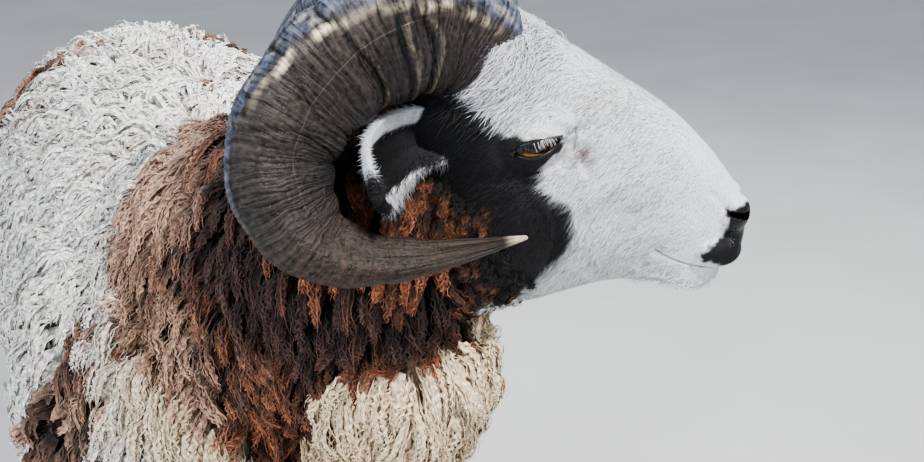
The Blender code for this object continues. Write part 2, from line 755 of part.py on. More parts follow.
def legs_and_hooves():
    for rows, cut, word in LEGS:
        for side, hand in SIDES:
            piece = boolean(leg(rows, side), "INTERSECT", [half_space((0, 0, cut), (0, 0, -1), GAP)])
            finish(largest_body(piece), f"{word}leg_{hand}", "leg")
            x, y = rows[-1][:2]
            for lean, letter in ((-1, "a"), (1, "b")):
                claw(x, y * side, lean, f"hoof_{word}_{hand}_{letter}")


def near_a_leg(point):
    """Whether a root of wool there would hang in a leg's way."""
    return any(abs(point.x - rows[2][0]) < LEG_CLEAR and point.z < cut + LEG_CLEAR
               and abs(abs(point.y) - rows[2][1]) < LEG_CLEAR for rows, cut, _ in LEGS)


def ahead_of_trunk(point):
    return (point - TRUNK_PLANE).dot(TRUNK_NORMAL)


def on_neck(point):
    behind_head = (head_to_body(NECK_PLANE) - point).dot(turned_normal())
    return ahead_of_trunk(point) > NECK_ROOTS_FROM and behind_head > NECK_LOCK_CLEAR


def on_body(point):
    near_tail = point.x < TAIL_ROOM[0] and abs(point.y) < TAIL_ROOM[1] and point.z < TAIL_ROOM[2]
    return not near_a_leg(point) and not near_tail and ahead_of_trunk(point) < BODY_ROOTS_TO


def on_tail(point):
    return (point.x < TAIL_ROOTS[0] and abs(point.y) < TAIL_ROOTS[1] and point.z < TAIL_ROOTS[2])


def fleece():
    """Core, leg tops and every clump in one body, still whole."""
    rng = np.random.default_rng(SEED)
    pieces = [*trunk(WOOL_RISE), neck(WOOL_RISE), throat(WOOL_RISE), tail(WOOL_RISE)]
    core = blended("core", pieces, CORE_VOXEL, CORE_ROUNDS)
    pieces = clumps(core, BODY_CLUMP, BODY_LIE, on_body, rng)
    pieces += clumps(core, NECK_LOCK, NECK_LIE, on_neck, rng)
    pieces += clumps(core, TAIL_CLUMP, NECK_LIE, on_tail, rng)
    for rows, cut, _ in LEGS:
        for side, _ in SIDES:
            top = leg(rows, side)
            pieces.append(boolean(top, "INTERSECT", [half_space((0, 0, cut), (0, 0, 1), 0.0)]))
    decimated(core, CORE_TRIANGLES)
    return boolean(core, "UNION", pieces)


def build():
    """Every node of the ram, in the body frame."""
    collection("jacob ram")
    head = finished_head()
    swollen = copied(head, "swollen head", GAP)
    head_fittings(swollen)
    legs_and_hooves()
    body = fleece()

    # The neck's wool lies round the back of the head, clear of it, the horns and the ears
    mane = copied(body, "mane")
    boolean(mane, "INTERSECT", [half_space(TRUNK_PLANE, TRUNK_NORMAL, GAP / 2)])
    boolean(mane, "DIFFERENCE", [swollen])
    for side, _ in SIDES:
        boolean(mane, "DIFFERENCE", [loft("horn room", horn_rings(side, GAP * 3))])
        boolean(mane, "DIFFERENCE", [ear("ear room", side, GAP * 3)])
    finish(largest_body(mane), "neck", "fleece_brown")

    # Thin cuts part the tail and the neck from the trunk
    low, high = (Vector(corner) for corner in TAIL_BOX)
    room = Vector((GAP, GAP, GAP))
    boolean(body, "DIFFERENCE", [half_space(TRUNK_PLANE, TRUNK_NORMAL, -GAP / 2)])
    tail_piece = boolean(copied(body, "tail"), "INTERSECT", [box(low + room, high - room)])
    finish(largest_body(tail_piece), "tail", "fleece_white")
    boolean(body, "DIFFERENCE", [box(low, high)])
    for rows, cut, _ in LEGS:
        for side, _ in SIDES:
            boolean(body, "DIFFERENCE", [leg_room(rows, side, cut)])
    finish(largest_body(body), "torso", "fleece_white")


def settle_frame():
    """Moves the whole ram so that the origin lies on the ground under the middle of its box."""
    made = list(bpy.data.collections["jacob ram"].objects)
    corners = np.array([tuple(v.co) for obj in made for v in obj.data.vertices])
    middle = (corners.min(0) + corners.max(0)) / 2
    for obj in made:
        obj.data.transform(Matrix.Translation((-middle[0], -middle[1], -corners[:, 2].min())))


clear_scene()
build()
settle_frame()
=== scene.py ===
"""The looks of a life-size Jacob ram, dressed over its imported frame.

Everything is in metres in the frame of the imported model: +X the way the body faces, +Y to
the ram's left, +Z up. The head has a frame of its own, x ahead, y to the left, z up, with
its origin midway between the eyes, and both are worked out from the eyes' boxes.
"""

import math

import bmesh
import bpy
import numpy as np
from mathutils import Matrix, Vector
from mathutils.bvhtree import BVHTree
from mathutils.kdtree import KDTree


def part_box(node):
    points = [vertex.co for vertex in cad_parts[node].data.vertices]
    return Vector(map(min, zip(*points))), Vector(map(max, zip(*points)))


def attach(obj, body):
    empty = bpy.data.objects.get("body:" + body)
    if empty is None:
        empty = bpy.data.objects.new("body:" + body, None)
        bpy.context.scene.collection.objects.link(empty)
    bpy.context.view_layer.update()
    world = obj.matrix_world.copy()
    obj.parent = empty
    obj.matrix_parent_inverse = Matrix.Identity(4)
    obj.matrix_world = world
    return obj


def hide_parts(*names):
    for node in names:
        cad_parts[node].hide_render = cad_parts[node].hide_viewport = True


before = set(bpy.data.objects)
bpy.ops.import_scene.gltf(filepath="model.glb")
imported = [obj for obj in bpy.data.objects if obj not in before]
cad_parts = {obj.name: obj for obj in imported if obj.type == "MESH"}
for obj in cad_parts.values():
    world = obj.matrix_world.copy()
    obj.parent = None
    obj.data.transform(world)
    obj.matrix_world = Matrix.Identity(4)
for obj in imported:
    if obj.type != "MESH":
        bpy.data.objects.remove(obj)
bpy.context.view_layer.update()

# The two frames, from where the eyes are
SIDES = ((-1, "right"), (1, "left"))


def middle_of(node):
    low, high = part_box(node)
    return (Vector(low) + Vector(high)) / 2


eye_line = middle_of("eye_left") - middle_of("eye_right")
EYES = (middle_of("eye_left") + middle_of("eye_right")) / 2
EYE_SIDE = eye_line.length / 2
HEAD_TURN = math.atan2(-eye_line.x, eye_line.y)
BODY = EYES - Vector((0.455, 0.185, 0.780))  # where the body's own origin stands
TO_HEAD = Matrix.Rotation(HEAD_TURN, 3, "Z")
HEAD_MATRIX = Matrix.Translation(EYES) @ TO_HEAD.to_4x4()
TURN = np.array(TO_HEAD)

# Camera, in the head's frame
CAMERA_PLACE = Vector((-0.0484, -1.000, 0.270))
CAMERA_PITCH = math.radians(19.38)
CAMERA_WIDTH = math.radians(35.84)

# Fleece
WOOL_RISE = 0.027  # from the skin to the tips of the wool
TRUNK = (
    (0.400, 0.520, 0.075, 0.095),
    (0.345, 0.525, 0.138, 0.158),
    (0.250, 0.530, 0.174, 0.190),
    (0.100, 0.535, 0.194, 0.195),
    (-0.080, 0.540, 0.200, 0.190),
    (-0.220, 0.550, 0.196, 0.178),
    (-0.340, 0.556, 0.178, 0.160),
    (-0.410, 0.570, 0.138, 0.126),
    (-0.450, 0.585, 0.060, 0.070),
)
SHOULDER = ((0.235, 0.120, 0.500), (0.110, 0.072, 0.160))
THIGH = ((-0.310, 0.105, 0.505), (0.130, 0.088, 0.165))
NECK_START = Vector((0.200, 0.000, 0.560))
NECK_LEAVES = Vector((0.115, 0.004, 0.075))
NECK_END = Vector((-0.078, 0.000, -0.018))
NECK_ARRIVES = Vector((0.030, 0.000, 0.100))
NECK_FROM = 0.605  # where the neck's wool begins, along the collar's normal
LEGS_BARE_BELOW = 0.315
NECK_RADII = ((0.150, 0.155), (0.138, 0.148), (0.120, 0.134), (0.108, 0.124), (0.090, 0.105))
THROAT = (Vector((-0.098, 0.000, -0.188)), (0.086, 0.082, 0.092))
TAIL = ((-0.405, 0.655, 0.040), (-0.455, 0.630, 0.050), (-0.478, 0.560, 0.050),
        (-0.483, 0.480, 0.046), (-0.482, 0.420, 0.034), (-0.480, 0.395, 0.014))

# Legs: x, y, z, half width, half depth, from inside the body to the coronet
FORELEG = (
    (0.245, 0.110, 0.460, 0.052, 0.070),
    (0.248, 0.104, 0.390, 0.044, 0.055),
    (0.252, 0.100, 0.330, 0.036, 0.043),
    (0.257, 0.098, 0.275, 0.027, 0.030),
    (0.262, 0.097, 0.235, 0.028, 0.029),
    (0.259, 0.097, 0.200, 0.021, 0.021),
    (0.256, 0.097, 0.140, 0.0165, 0.0185),
    (0.254, 0.097, 0.092, 0.022, 0.024),
    (0.262, 0.097, 0.060, 0.021, 0.020),
    (0.268, 0.097, 0.030, 0.026, 0.028),
)
HINDLEG = (
    (-0.300, 0.112, 0.500, 0.058, 0.100),
    (-0.318, 0.108, 0.420, 0.050, 0.072),
    (-0.348, 0.104, 0.350, 0.036, 0.046),
    (-0.372, 0.101, 0.300, 0.026, 0.035),
    (-0.376, 0.100, 0.272, 0.024, 0.034),
    (-0.370, 0.100, 0.232, 0.021, 0.026),
    (-0.362, 0.100, 0.160, 0.018, 0.020),
    (-0.357, 0.100, 0.096, 0.024, 0.026),
    (-0.348, 0.100, 0.062, 0.022, 0.021),
    (-0.341, 0.100, 0.030, 0.027, 0.029),
)

# Head: x, top, bottom, half width of the skull, half width of the jaw
HEAD = (
    (-0.110, 0.060, -0.100, 0.060, 0.050),
    (-0.070, 0.082, -0.122, 0.068, 0.056),
    (-0.030, 0.089, -0.132, 0.066, 0.056),
    (0.000, 0.076, -0.134, 0.060, 0.050),
    (0.030, 0.059, -0.126, 0.052, 0.043),
    (0.060, 0.040, -0.1185, 0.044, 0.037),
    (0.090, 0.021, -0.119, 0.039, 0.032),
    (0.112, 0.004, -0.123, 0.037, 0.028),
    (0.132, -0.018, -0.117, 0.035, 0.024),
    (0.146, -0.036, -0.104, 0.032, 0.021),
    (0.155, -0.050, -0.098, 0.025, 0.017),
    (0.1592, -0.062, -0.086, 0.012, 0.009),
)
HEAD_SQUARENESS = 2.4
HAIR_DEPTH = 0.0012  # how far the head's skin lies inside the hair
EYE_RADIUS = 0.0155
EYE_REAR = Vector((-0.0145, 0.0, -0.0030))
EYE_FRONT = Vector((0.0210, 0.0, 0.0075))
EYE_OPENING = 0.0125
LID_THICKNESS = 0.0030
LIP_DEPTH = 0.0065  # how deep the slit between the lips is cut
HEAD_REACH = 0.24  # how far from the middle of the eyes the head's markings reach
HEAD_VOXEL, BODY_VOXEL = 0.0021, 0.0065
MOUTH = ((0.092, -0.0865), (0.108, -0.0960), (0.126, -0.1015), (0.142, -0.1015), (0.175, -0.0935))
NECK_PLANE = Vector((-0.066, 0.0, -0.030))
NECK_NORMAL = Vector((0.934, 0.0, 0.354))

# Horn: x, side, z of the axis in the head frame, half width across the curl, half depth
HORN = (
    (-0.020, 0.026, 0.030, 0.034, 0.028),
    (-0.0400, 0.036, 0.066, 0.039, 0.030),
    (-0.0640, 0.052, 0.0835, 0.042, 0.032),
    (-0.0950, 0.074, 0.0840, 0.042, 0.033),
    (-0.1280, 0.094, 0.0710, 0.040, 0.032),
    (-0.1550, 0.112, 0.0450, 0.0375, 0.031),
    (-0.1690, 0.125, 0.0120, 0.0355, 0.030),
    (-0.1620, 0.133, -0.0220, 0.0320, 0.028),
    (-0.1420, 0.137, -0.0450, 0.0255, 0.024),
    (-0.1120, 0.136, -0.0550, 0.0185, 0.019),
    (-0.0780, 0.131, -0.0560, 0.0125, 0.014),
    (-0.0440, 0.124, -0.0520, 0.0075, 0.009),
    (-0.0060, 0.115, -0.0460, 0.0015, 0.0015),
)
HORN_HUB = Vector((-0.085, 0.105, 0.008))
HORN_CORNERS = 0.12
HORN_RIDGE_AT = math.radians(55)

# Ear
EAR_ROOT = Vector((-0.0620, 0.050, 0.0100))
EAR_MIDDLE = Vector((-0.0995, 0.100, 0.0035))
EAR_TIP = Vector((-0.0975, 0.146, -0.0150))
EAR_ACROSS = Vector((-0.61, 0.20, 1.25))
EAR_HALF_WIDTH = 0.0245
EAR_CUP = 0.015
EAR_THICKNESS = 0.0034
EAR_NEAR = 0.0052  # places closer than this to the middle of an ear's shell belong to the ear

# Colours, linear
WHITE_WOOL = np.array((0.93, 0.90, 0.85))
CREAM_WOOL = np.array((0.97, 0.75, 0.52))
WHITE_HAIR = np.array((0.82, 0.84, 0.87))
RUSSET = np.array((0.36, 0.135, 0.068))
GINGER = np.array((0.72, 0.46, 0.33))
CURL_BROWN = np.array((0.30, 0.125, 0.055))
BLACK = np.array((0.012, 0.011, 0.013))
TAN = np.array((0.50, 0.34, 0.22))
SPECKLE_BROWN = np.array((0.22, 0.14, 0.105))


def from_head(point):
    """A place in the head's frame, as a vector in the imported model's frame."""
    return HEAD_MATRIX @ Vector(point)


def in_head(points):
    """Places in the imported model's frame, as an array in the head's frame."""
    return (np.asarray(points, float) - np.array(EYES)) @ TURN


def in_body(points):
    """The same in the body's frame, which stands on the ground and isn't turned."""
    return np.asarray(points, float) - np.array(BODY)


def head_zone(points):
    """How far places lie ahead of the plane where the face ends and the wool begins."""
    return (in_head(points) - np.array(NECK_PLANE)) @ np.array(NECK_NORMAL)


def leg_zone(points):
    """Below the fleece of the belly, down the legs."""
    return in_body(points)[:, 2] < LEGS_BARE_BELOW


def smooth_rows(rows, count):
    """Rows of numbers, read at count even steps along a Catmull-Rom curve through them."""
    rows = np.array(rows, float)
    padded = np.vstack([2 * rows[0] - rows[1], rows, 2 * rows[-1] - rows[-2]])
    at = np.linspace(0, len(rows) - 1, count)
    i = np.minimum(at.astype(int), len(rows) - 2)
    t = (at - i)[:, None]
    a, b, c, d = (padded[i + k] for k in range(4))
    return 0.5 * (2 * b + (c - a) * t + (2 * a - 5 * b + 4 * c - d) * t**2
                  + (3 * b - a - 3 * c + d) * t**3)


def smooth_step(x, low, high):
    t = np.clip((np.asarray(x, float) - low) / (high - low), 0.0, 1.0)
    return t * t * (3 - 2 * t)


def lattice(corner, seed):
    """A number from 0 to 1 for each whole-numbered corner."""
    mixed = corner @ np.array((127.1, 311.7, 74.7)) + seed * 57.3
    return np.modf(np.abs(np.sin(mixed) * 43758.5453))[0]


def noise(points, size, seed=0):
    """Smooth noise from 0 to 1, with features about size across."""
    p = np.asarray(points, float) / size
    base = np.floor(p)
    f = p - base
    f = f * f * (3 - 2 * f)
    total = np.zeros(len(p))
    for dx in (0, 1):
        for dy in (0, 1):
            for dz in (0, 1):
                weight = (np.abs(1 - dx - f[:, 0]) * np.abs(1 - dy - f[:, 1])
                          * np.abs(1 - dz - f[:, 2]))
                total += weight * lattice(base + (dx, dy, dz), seed)
    return total


def blob(points, centre, radii, edge=0.25):
    """1 inside an ellipse seen from the side, falling to 0 over its soft edge."""
    far = np.hypot((points[:, 0] - centre[0]) / radii[0], (points[:, 2] - centre[1]) / radii[1])
    return 1 - smooth_step(far, 1 - edge, 1 + edge)


def distance_to_line(points, line):
    """How far points are from a line of (x, z) places, seen from the side."""
    x, z = points[:, 0], points[:, 2]
    nearest = np.full(len(x), 1e9)
    for (x0, z0), (x1, z1) in zip(line, line[1:]):
        dx, dz = x1 - x0, z1 - z0
        t = np.clip(((x - x0) * dx + (z - z0) * dz) / (dx * dx + dz * dz), 0, 1)
        nearest = np.minimum(nearest, np.hypot(x - x0 - t * dx, z - z0 - t * dz))
    return nearest


def inside_outline(points, outline, soft):
    """1 inside a closed outline of (x, z) places, 0 outside, with an edge soft metres wide."""
    x, z = points[:, 0], points[:, 2]
    closed = (*outline, outline[0])
    inside = np.zeros(len(x), bool)
    for (x0, z0), (x1, z1) in zip(closed, closed[1:]):
        if z0 != z1:
            inside ^= ((z0 > z) != (z1 > z)) & (x < (x1 - x0) * (z - z0) / (z1 - z0) + x0)
    away = distance_to_line(points, closed)
    return smooth_step(np.where(inside, away, -away), -soft, soft)


# Making meshes


def link(obj):
    bpy.context.scene.collection.objects.link(obj)
    return obj


def mesh_object(name, bm):
    bmesh.ops.recalc_face_normals(bm, faces=bm.faces)
    bmesh.ops.triangulate(bm, faces=bm.faces)
    mesh = bpy.data.meshes.new(name)
    bm.to_mesh(mesh)
    bm.free()
    return link(bpy.data.objects.new(name, mesh))


def loft(name, rings):
    """A closed body through rings of points, all with the same number of sides."""
    bm = bmesh.new()
    rows = [[bm.verts.new(point) for point in ring] for ring in rings]
    sides = len(rows[0])
    for first, second in zip(rows, rows[1:]):
        for i in range(sides):
            j = (i + 1) % sides
            bm.faces.new((first[i], first[j], second[j], second[i]))
    bm.faces.new(rows[0])
    bm.faces.new(rows[-1])
    return mesh_object(name, bm)


def oval(centre, across, along, half_across, half_along, sides):
    angles = [2 * math.pi * (i + 0.5) / sides for i in range(sides)]
    return [centre + across * half_across * math.cos(a) + along * half_along * math.sin(a)
            for a in angles]


def ellipsoid(name, centre, radii, turn=0.0, fineness=2):
    bm = bmesh.new()
    bmesh.ops.create_uvsphere(bm, u_segments=16 * fineness, v_segments=10 * fineness, radius=1.0)
    place = (Matrix.Translation(centre) @ Matrix.Rotation(turn, 4, "Y")
             @ Matrix.Diagonal((*radii, 1.0)))
    bmesh.ops.transform(bm, matrix=place, verts=bm.verts)
    return mesh_object(name, bm)


def remove(*objects):
    for old in objects:
        bpy.data.objects.remove(old, do_unlink=True)


def apply_modifiers(obj):
    graph = bpy.context.evaluated_depsgraph_get()
    graph.update()
    made = bpy.data.meshes.new_from_object(obj.evaluated_get(graph))
    obj.modifiers.clear()
    obj.data = made
    return obj


def blended(name, pieces, voxel, rounds):
    """The pieces melted into one soft body."""
    bm = bmesh.new()
    for piece in pieces:
        bm.from_mesh(piece.data)
    mesh = bpy.data.meshes.new(name)
    bm.to_mesh(mesh)
    bm.free()
    remove(*pieces)
    made = link(bpy.data.objects.new(name, mesh))
    melt = made.modifiers.new("melt", "REMESH")
    melt.mode = "VOXEL"
    melt.voxel_size = voxel
    soften = made.modifiers.new("soften", "SMOOTH")
    soften.factor = 0.5
    soften.iterations = rounds
    return apply_modifiers(made)


def boolean(obj, operation, others):
    """Joins, cuts or keeps with each of the other objects, which are then removed."""
    pieces = bpy.data.collections.new("boolean pieces")
    bpy.context.scene.collection.children.link(pieces)
    for other in others:
        for home in list(other.users_collection):
            home.objects.unlink(other)
        pieces.objects.link(other)
    step = obj.modifiers.new("boolean", "BOOLEAN")
    step.operation = operation
    step.operand_type = "COLLECTION"
    step.collection = pieces
    step.solver = "MANIFOLD"
    apply_modifiers(obj)
    remove(*others)
    bpy.data.collections.remove(pieces)
    return obj


def points_of(mesh):
    flat = np.empty(len(mesh.vertices) * 3)
    mesh.vertices.foreach_get("co", flat)
    return flat.reshape(-1, 3)


def normals_of(mesh):
    flat = np.empty(len(mesh.vertices) * 3)
    mesh.vertex_normals.foreach_get("vector", flat)
    return flat.reshape(-1, 3)


def move_points(mesh, points):
    mesh.vertices.foreach_set("co", np.ascontiguousarray(points, float).ravel())
    mesh.update()


def set_colours(mesh, name, colours):
    """A colour attribute from an array of rgb, one for each vertex."""
    layer = mesh.color_attributes.new(name, "FLOAT_COLOR", "POINT")
    rgba = np.ones((len(mesh.vertices), 4))
    rgba[:, :3] = colours
    layer.data.foreach_set("color", rgba.ravel())


def triangle_mesh(name, points, faces):
    mesh = bpy.data.meshes.new(name)
    mesh.vertices.add(len(points))
    mesh.vertices.foreach_set("co", np.ascontiguousarray(points, float).ravel())
    mesh.loops.add(len(faces) * 3)
    mesh.loops.foreach_set("vertex_index", np.ascontiguousarray(faces, np.int32).ravel())
    mesh.polygons.add(len(faces))
    mesh.polygons.foreach_set("loop_start", np.arange(0, len(faces) * 3, 3, dtype=np.int32))
    mesh.update(calc_edges=True)
    mesh.shade_smooth()
    return mesh


def place_tree(points):
    tree = KDTree(len(points))
    for i, point in enumerate(points):
        tree.insert(point, i)
    tree.balance()
    return tree


def mesh_tree(mesh):
    bm = bmesh.new()
    bm.from_mesh(mesh)
    tree = BVHTree.FromBMesh(bm)
    bm.free()
    return tree


def dressed(obj, name, slot, material, *nodes):
    """Names a piece, gives it its material, and sets it to ride and to stand for its nodes."""
    obj.name = name
    obj.data.name = name
    obj.data.materials.clear()
    obj.data.materials.append(material)
    obj.data.shade_smooth()
    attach(obj, "root")
    if nodes:
        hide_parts(*nodes)
    return obj


# The skin


def trunk():
    rings = []
    for x, z, half_width, half_height in smooth_rows(TRUNK, 40):
        rings.append(oval(BODY + Vector((x, 0, z)), Vector((0, 1, 0)), Vector((0, 0, 1)),
                          max(0.012, half_width - WOOL_RISE), max(0.012, half_height - WOOL_RISE), 40))
    pieces = [loft("trunk", rings)]
    for side, _ in SIDES:
        for centre, radii in (SHOULDER, THIGH):
            place = BODY + Vector((centre[0], centre[1] * side, centre[2]))
            pieces.append(ellipsoid("muscle", place, [r - WOOL_RISE for r in radii]))
    return pieces


def neck_line(steps):
    """Places and directions along the middle of the neck, from the trunk to the head."""
    start, end = BODY + NECK_START, from_head(NECK_END)
    one, two = start + NECK_LEAVES, end - TO_HEAD @ NECK_ARRIVES
    line = []
    for t in np.linspace(0, 1, steps):
        u = 1 - t
        place = start * u**3 + one * 3 * u * u * t + two * 3 * u * t * t + end * t**3
        ahead = (one - start) * u * u + (two - one) * 2 * u * t + (end - two) * t * t
        line.append((place, ahead.normalized()))
    return line


def neck():
    rings = []
    for (place, ahead), (side, rise) in zip(neck_line(24), smooth_rows(NECK_RADII, 24)):
        across = Vector((0, 0, 1)).cross(ahead).normalized()
        rings.append(oval(place, across, ahead.cross(across), side - WOOL_RISE, rise - WOOL_RISE, 40))
    return loft("neck", rings)


def tail():
    rings = []
    rows = smooth_rows(TAIL, 20)
    for i, (x, z, radius) in enumerate(rows):
        before, after = rows[max(i - 1, 0)], rows[min(i + 1, len(rows) - 1)]
        ahead = Vector((after[0] - before[0], 0, after[1] - before[1])).normalized()
        across = Vector((0, 1, 0))
        half = max(0.006, radius - WOOL_RISE)
        rings.append(oval(BODY + Vector((x, 0, z)), across, ahead.cross(across), half, half * 0.75, 20))
    return loft("tail", rings)


def leg(rows, side):
    """A leg of upright ovals, with flat sides to the cannon and tendons behind."""
    rings = []
    for x, y, z, half_width, half_depth in smooth_rows(rows, 56):
        ring = []
        for i in range(28):
            angle = 2 * math.pi * i / 28
            ahead, out = math.cos(angle), math.sin(angle)
            tendon = 0.10 * max(0.0, -ahead) ** 6 - 0.06 * math.exp(-((ahead + 0.55) / 0.16) ** 2)
            reach = 1 + (tendon if z < 0.24 else 0.0)
            ring.append(BODY + Vector((x + ahead * half_depth * reach,
                                       y * side + out * half_width * reach, z)))
        rings.append(ring)
    return loft("leg", rings)


# Folds of the face in the head's frame, seen from the side: points, width, depth
FOLDS = (
    (((-0.014, 0.009), (-0.002, 0.0145), (0.011, 0.0150), (0.024, 0.0085)), 0.0024, 0.0016),
    (((-0.004, 0.0195), (0.012, 0.0195), (0.028, 0.0100)), 0.0026, 0.0011),
    (((0.024, 0.0020), (0.0320, -0.0040), (0.0360, -0.0150), (0.0400, -0.0230)), 0.0036, 0.0014),
    (((-0.010, -0.0150), (0.005, -0.0185), (0.022, -0.0140)), 0.0026, 0.0010),
    (((-0.012, 0.0145), (0.004, 0.0185), (0.020, 0.0150)), 0.0012, 0.0008),
    (((0.026, 0.0075), (0.034, 0.0085), (0.044, 0.0120)), 0.0016, 0.0012),
    (((0.092, -0.0860), (0.085, -0.0930), (0.082, -0.1010)), 0.0040, 0.0018),
    (((0.128, -0.0420), (0.136, -0.0480), (0.1420, -0.0570)), 0.0028, 0.0012),
    (((0.130, -0.0800), (0.142, -0.0780), (0.153, -0.0760)), 0.0028, 0.0008),
)

# Swellings of the face: centre seen from the side, radii, height
SWELLINGS = (
    ((0.006, 0.0160), (0.026, 0.0070), 0.0022),  # brow over the eye
    ((0.066, -0.036), (0.032, 0.014), 0.0018),  # crest of the cheekbone
    ((0.050, -0.062), (0.030, 0.012), -0.0016),  # hollow below it
    ((0.098, -0.0700), (0.022, 0.012), 0.0016),  # cushion of the upper lip
    ((-0.010, -0.050), (0.030, 0.026), 0.0016),  # chewing muscle
    ((0.146, -0.0500), (0.009, 0.008), 0.0012),  # roof of the nostril
)


def head_form():
    """Skull, cheeks, brow, nostrils and chin melted together, with folds, in the head's frame."""
    rings = []
    power = 2 / HEAD_SQUARENESS
    for x, top, bottom, skull, jaw in smooth_rows(HEAD, 64):
        ring = []
        for i in range(48):
            angle = 2 * math.pi * (i + 0.5) / 48
            across = math.copysign(abs(math.cos(angle)) ** power, math.cos(angle))
            up = math.copysign(abs(math.sin(angle)) ** power, math.sin(angle))
            width = jaw + (skull - jaw) * (0.5 + 0.5 * up)
            ring.append(Vector((x, across * width, (top + bottom) / 2 + up * (top - bottom) / 2)))
        rings.append(ring)
    pieces = [loft("skull", rings), ellipsoid("chin", (0.118, 0, -0.108), (0.026, 0.024, 0.0165))]
    for side, _ in SIDES:
        for centre, radii, turn in (
            ((-0.002, 0.046, 0.004), (0.032, 0.0205, 0.024), -0.3),
            ((-0.034, 0.044, -0.066), (0.052, 0.024, 0.058), 0.2),
            ((-0.040, 0.034, 0.052), (0.040, 0.034, 0.040), 0.0),
            ((0.1462, 0.0175, -0.0615), (0.0140, 0.0155, 0.0160), 0.5),
            ((0.136, 0.019, -0.088), (0.020, 0.015, 0.014), 0.0),
        ):
            pieces.append(ellipsoid("swelling", (centre[0], centre[1] * side, centre[2]), radii, turn))
    head = blended("head", pieces, HEAD_VOXEL, 4)
    points, normals = points_of(head.data), normals_of(head.data)
    x, z = points[:, 0], points[:, 2]
    sideways = smooth_step(np.abs(normals[:, 1]), 0.15, 0.55)
    lift = -HAIR_DEPTH * smooth_step(-x, -0.135, -0.110)
    for centre, radii, height in SWELLINGS:
        far = ((x - centre[0]) / radii[0]) ** 2 + ((z - centre[1]) / radii[1]) ** 2
        lift = lift + height * np.exp(-far) * sideways
    for line, width, depth in FOLDS:
        lift = lift - depth * np.exp(-(distance_to_line(points, line) / width) ** 2) * sideways
    move_points(head.data, points + normals * lift[:, None])
    return head


def almond(count):
    """The outline of the eye's opening, seen from the side, as (x, z)."""
    middle = (EYE_REAR + EYE_FRONT) / 2
    along = (EYE_FRONT - EYE_REAR) / 2
    above = Vector((-along.z, 0, along.x)).normalized() * EYE_OPENING / 2
    outline = []
    for i in range(count):
        angle = 2 * math.pi * i / count
        rise = math.sin(angle)
        pinch = 1 - 0.30 * math.cos(angle) ** 4
        point = middle + along * math.cos(angle) + above * rise * pinch * (0.60 if rise > 0 else 1.28)
        outline.append((point.x, point.z))
    return outline


def eye_cutters(side):
    centre = Vector((0, EYE_SIDE * side, 0))
    socket = ellipsoid("socket", centre, (EYE_RADIUS + 0.0002,) * 3, fineness=3)
    rings = [[Vector((x, (EYE_SIDE + depth) * side, z)) for x, z in almond(40)]
             for depth in (0.002, 0.030)]
    return [socket, loft("opening", rings)]


def lid_form(side):
    radius = EYE_RADIUS + LID_THICKNESS
    return ellipsoid("lids", Vector((0, EYE_SIDE * side, 0)), (radius,) * 3, fineness=3)


def mouth_form():
    rings = []
    line = smooth_rows(MOUTH, 21)
    for half_width in (-0.07, 0.07):
        above = [Vector((x, half_width, z + 0.0009)) for x, z in line]
        below = [Vector((x, half_width, z - 0.0009)) for x, z in line]
        rings.append(above + below[::-1])
    return loft("mouth", rings)


# Nostril: x, y, z, half height, from its rear end forwards
NOSTRIL = ((0.1330, 0.0350, -0.0545, 0.0006), (0.1400, 0.0335, -0.0565, 0.0014),
           (0.1470, 0.0295, -0.0585, 0.0030), (0.1530, 0.0255, -0.0600, 0.0042),
           (0.1580, 0.0235, -0.0605, 0.0034))


def nostril_form(side):
    """A comma of an opening that runs up and back from the end of the nose."""
    rows = smooth_rows(NOSTRIL, 14)
    rings = []
    for x, y, z, half in rows:
        rings.append(oval(Vector((x, y * side, z)), Vector((0.15, side, 0)), Vector((0, 0, 1)),
                          half * 1.6, half, 16))
    return loft("nostril", rings)


EAR_STEPS, EAR_RIBS = 40, 25


def ear_grid(side):
    """Points of the middle of an ear's shell, and how far along and across each lies."""
    ahead = (EAR_TIP - EAR_ROOT).normalized()
    across = (EAR_ACROSS - ahead * EAR_ACROSS.dot(ahead)).normalized()
    behind = ahead.cross(across).normalized()
    bend = 2 * EAR_MIDDLE - (EAR_ROOT + EAR_TIP) / 2
    grid = []
    for i in range(EAR_STEPS):
        t = i / (EAR_STEPS - 1)
        u = 1 - t
        place = EAR_ROOT * u * u + bend * 2 * u * t + EAR_TIP * t * t
        half = EAR_HALF_WIDTH * (0.42 + 0.62 * math.sin(math.pi * min(1.0, 0.14 + t * 0.83)) ** 0.7)
        half *= math.sqrt(max(0.0, 1 - max(0.0, (t - 0.55) / 0.46) ** 2.2))
        row = []
        for k in range(EAR_RIBS):
            v = 2 * k / (EAR_RIBS - 1) - 1
            roll = EAR_CUP * (1 - 0.55 * t) * (v * v - 0.6)
            vein = 0.0007 * math.cos(v * 9.0) * (1 - t)
            point = place + across * half * v * (1 - 0.08 * abs(v)) + behind * (roll + vein)
            row.append(Vector((point.x, point.y * side, point.z)))
        grid.append(row)
    return grid


def ear_form(side):
    bm = bmesh.new()
    rows = [[bm.verts.new(from_head(point)) for point in row] for row in ear_grid(side)]
    for first, second in zip(rows, rows[1:]):
        for k in range(EAR_RIBS - 1):
            bm.faces.new((first[k], first[k + 1], second[k + 1], second[k]))
    made = mesh_object("ear", bm)
    shell = made.modifiers.new("thickness", "SOLIDIFY")
    shell.thickness = EAR_THICKNESS
    shell.offset = 0.0
    return apply_modifiers(made)


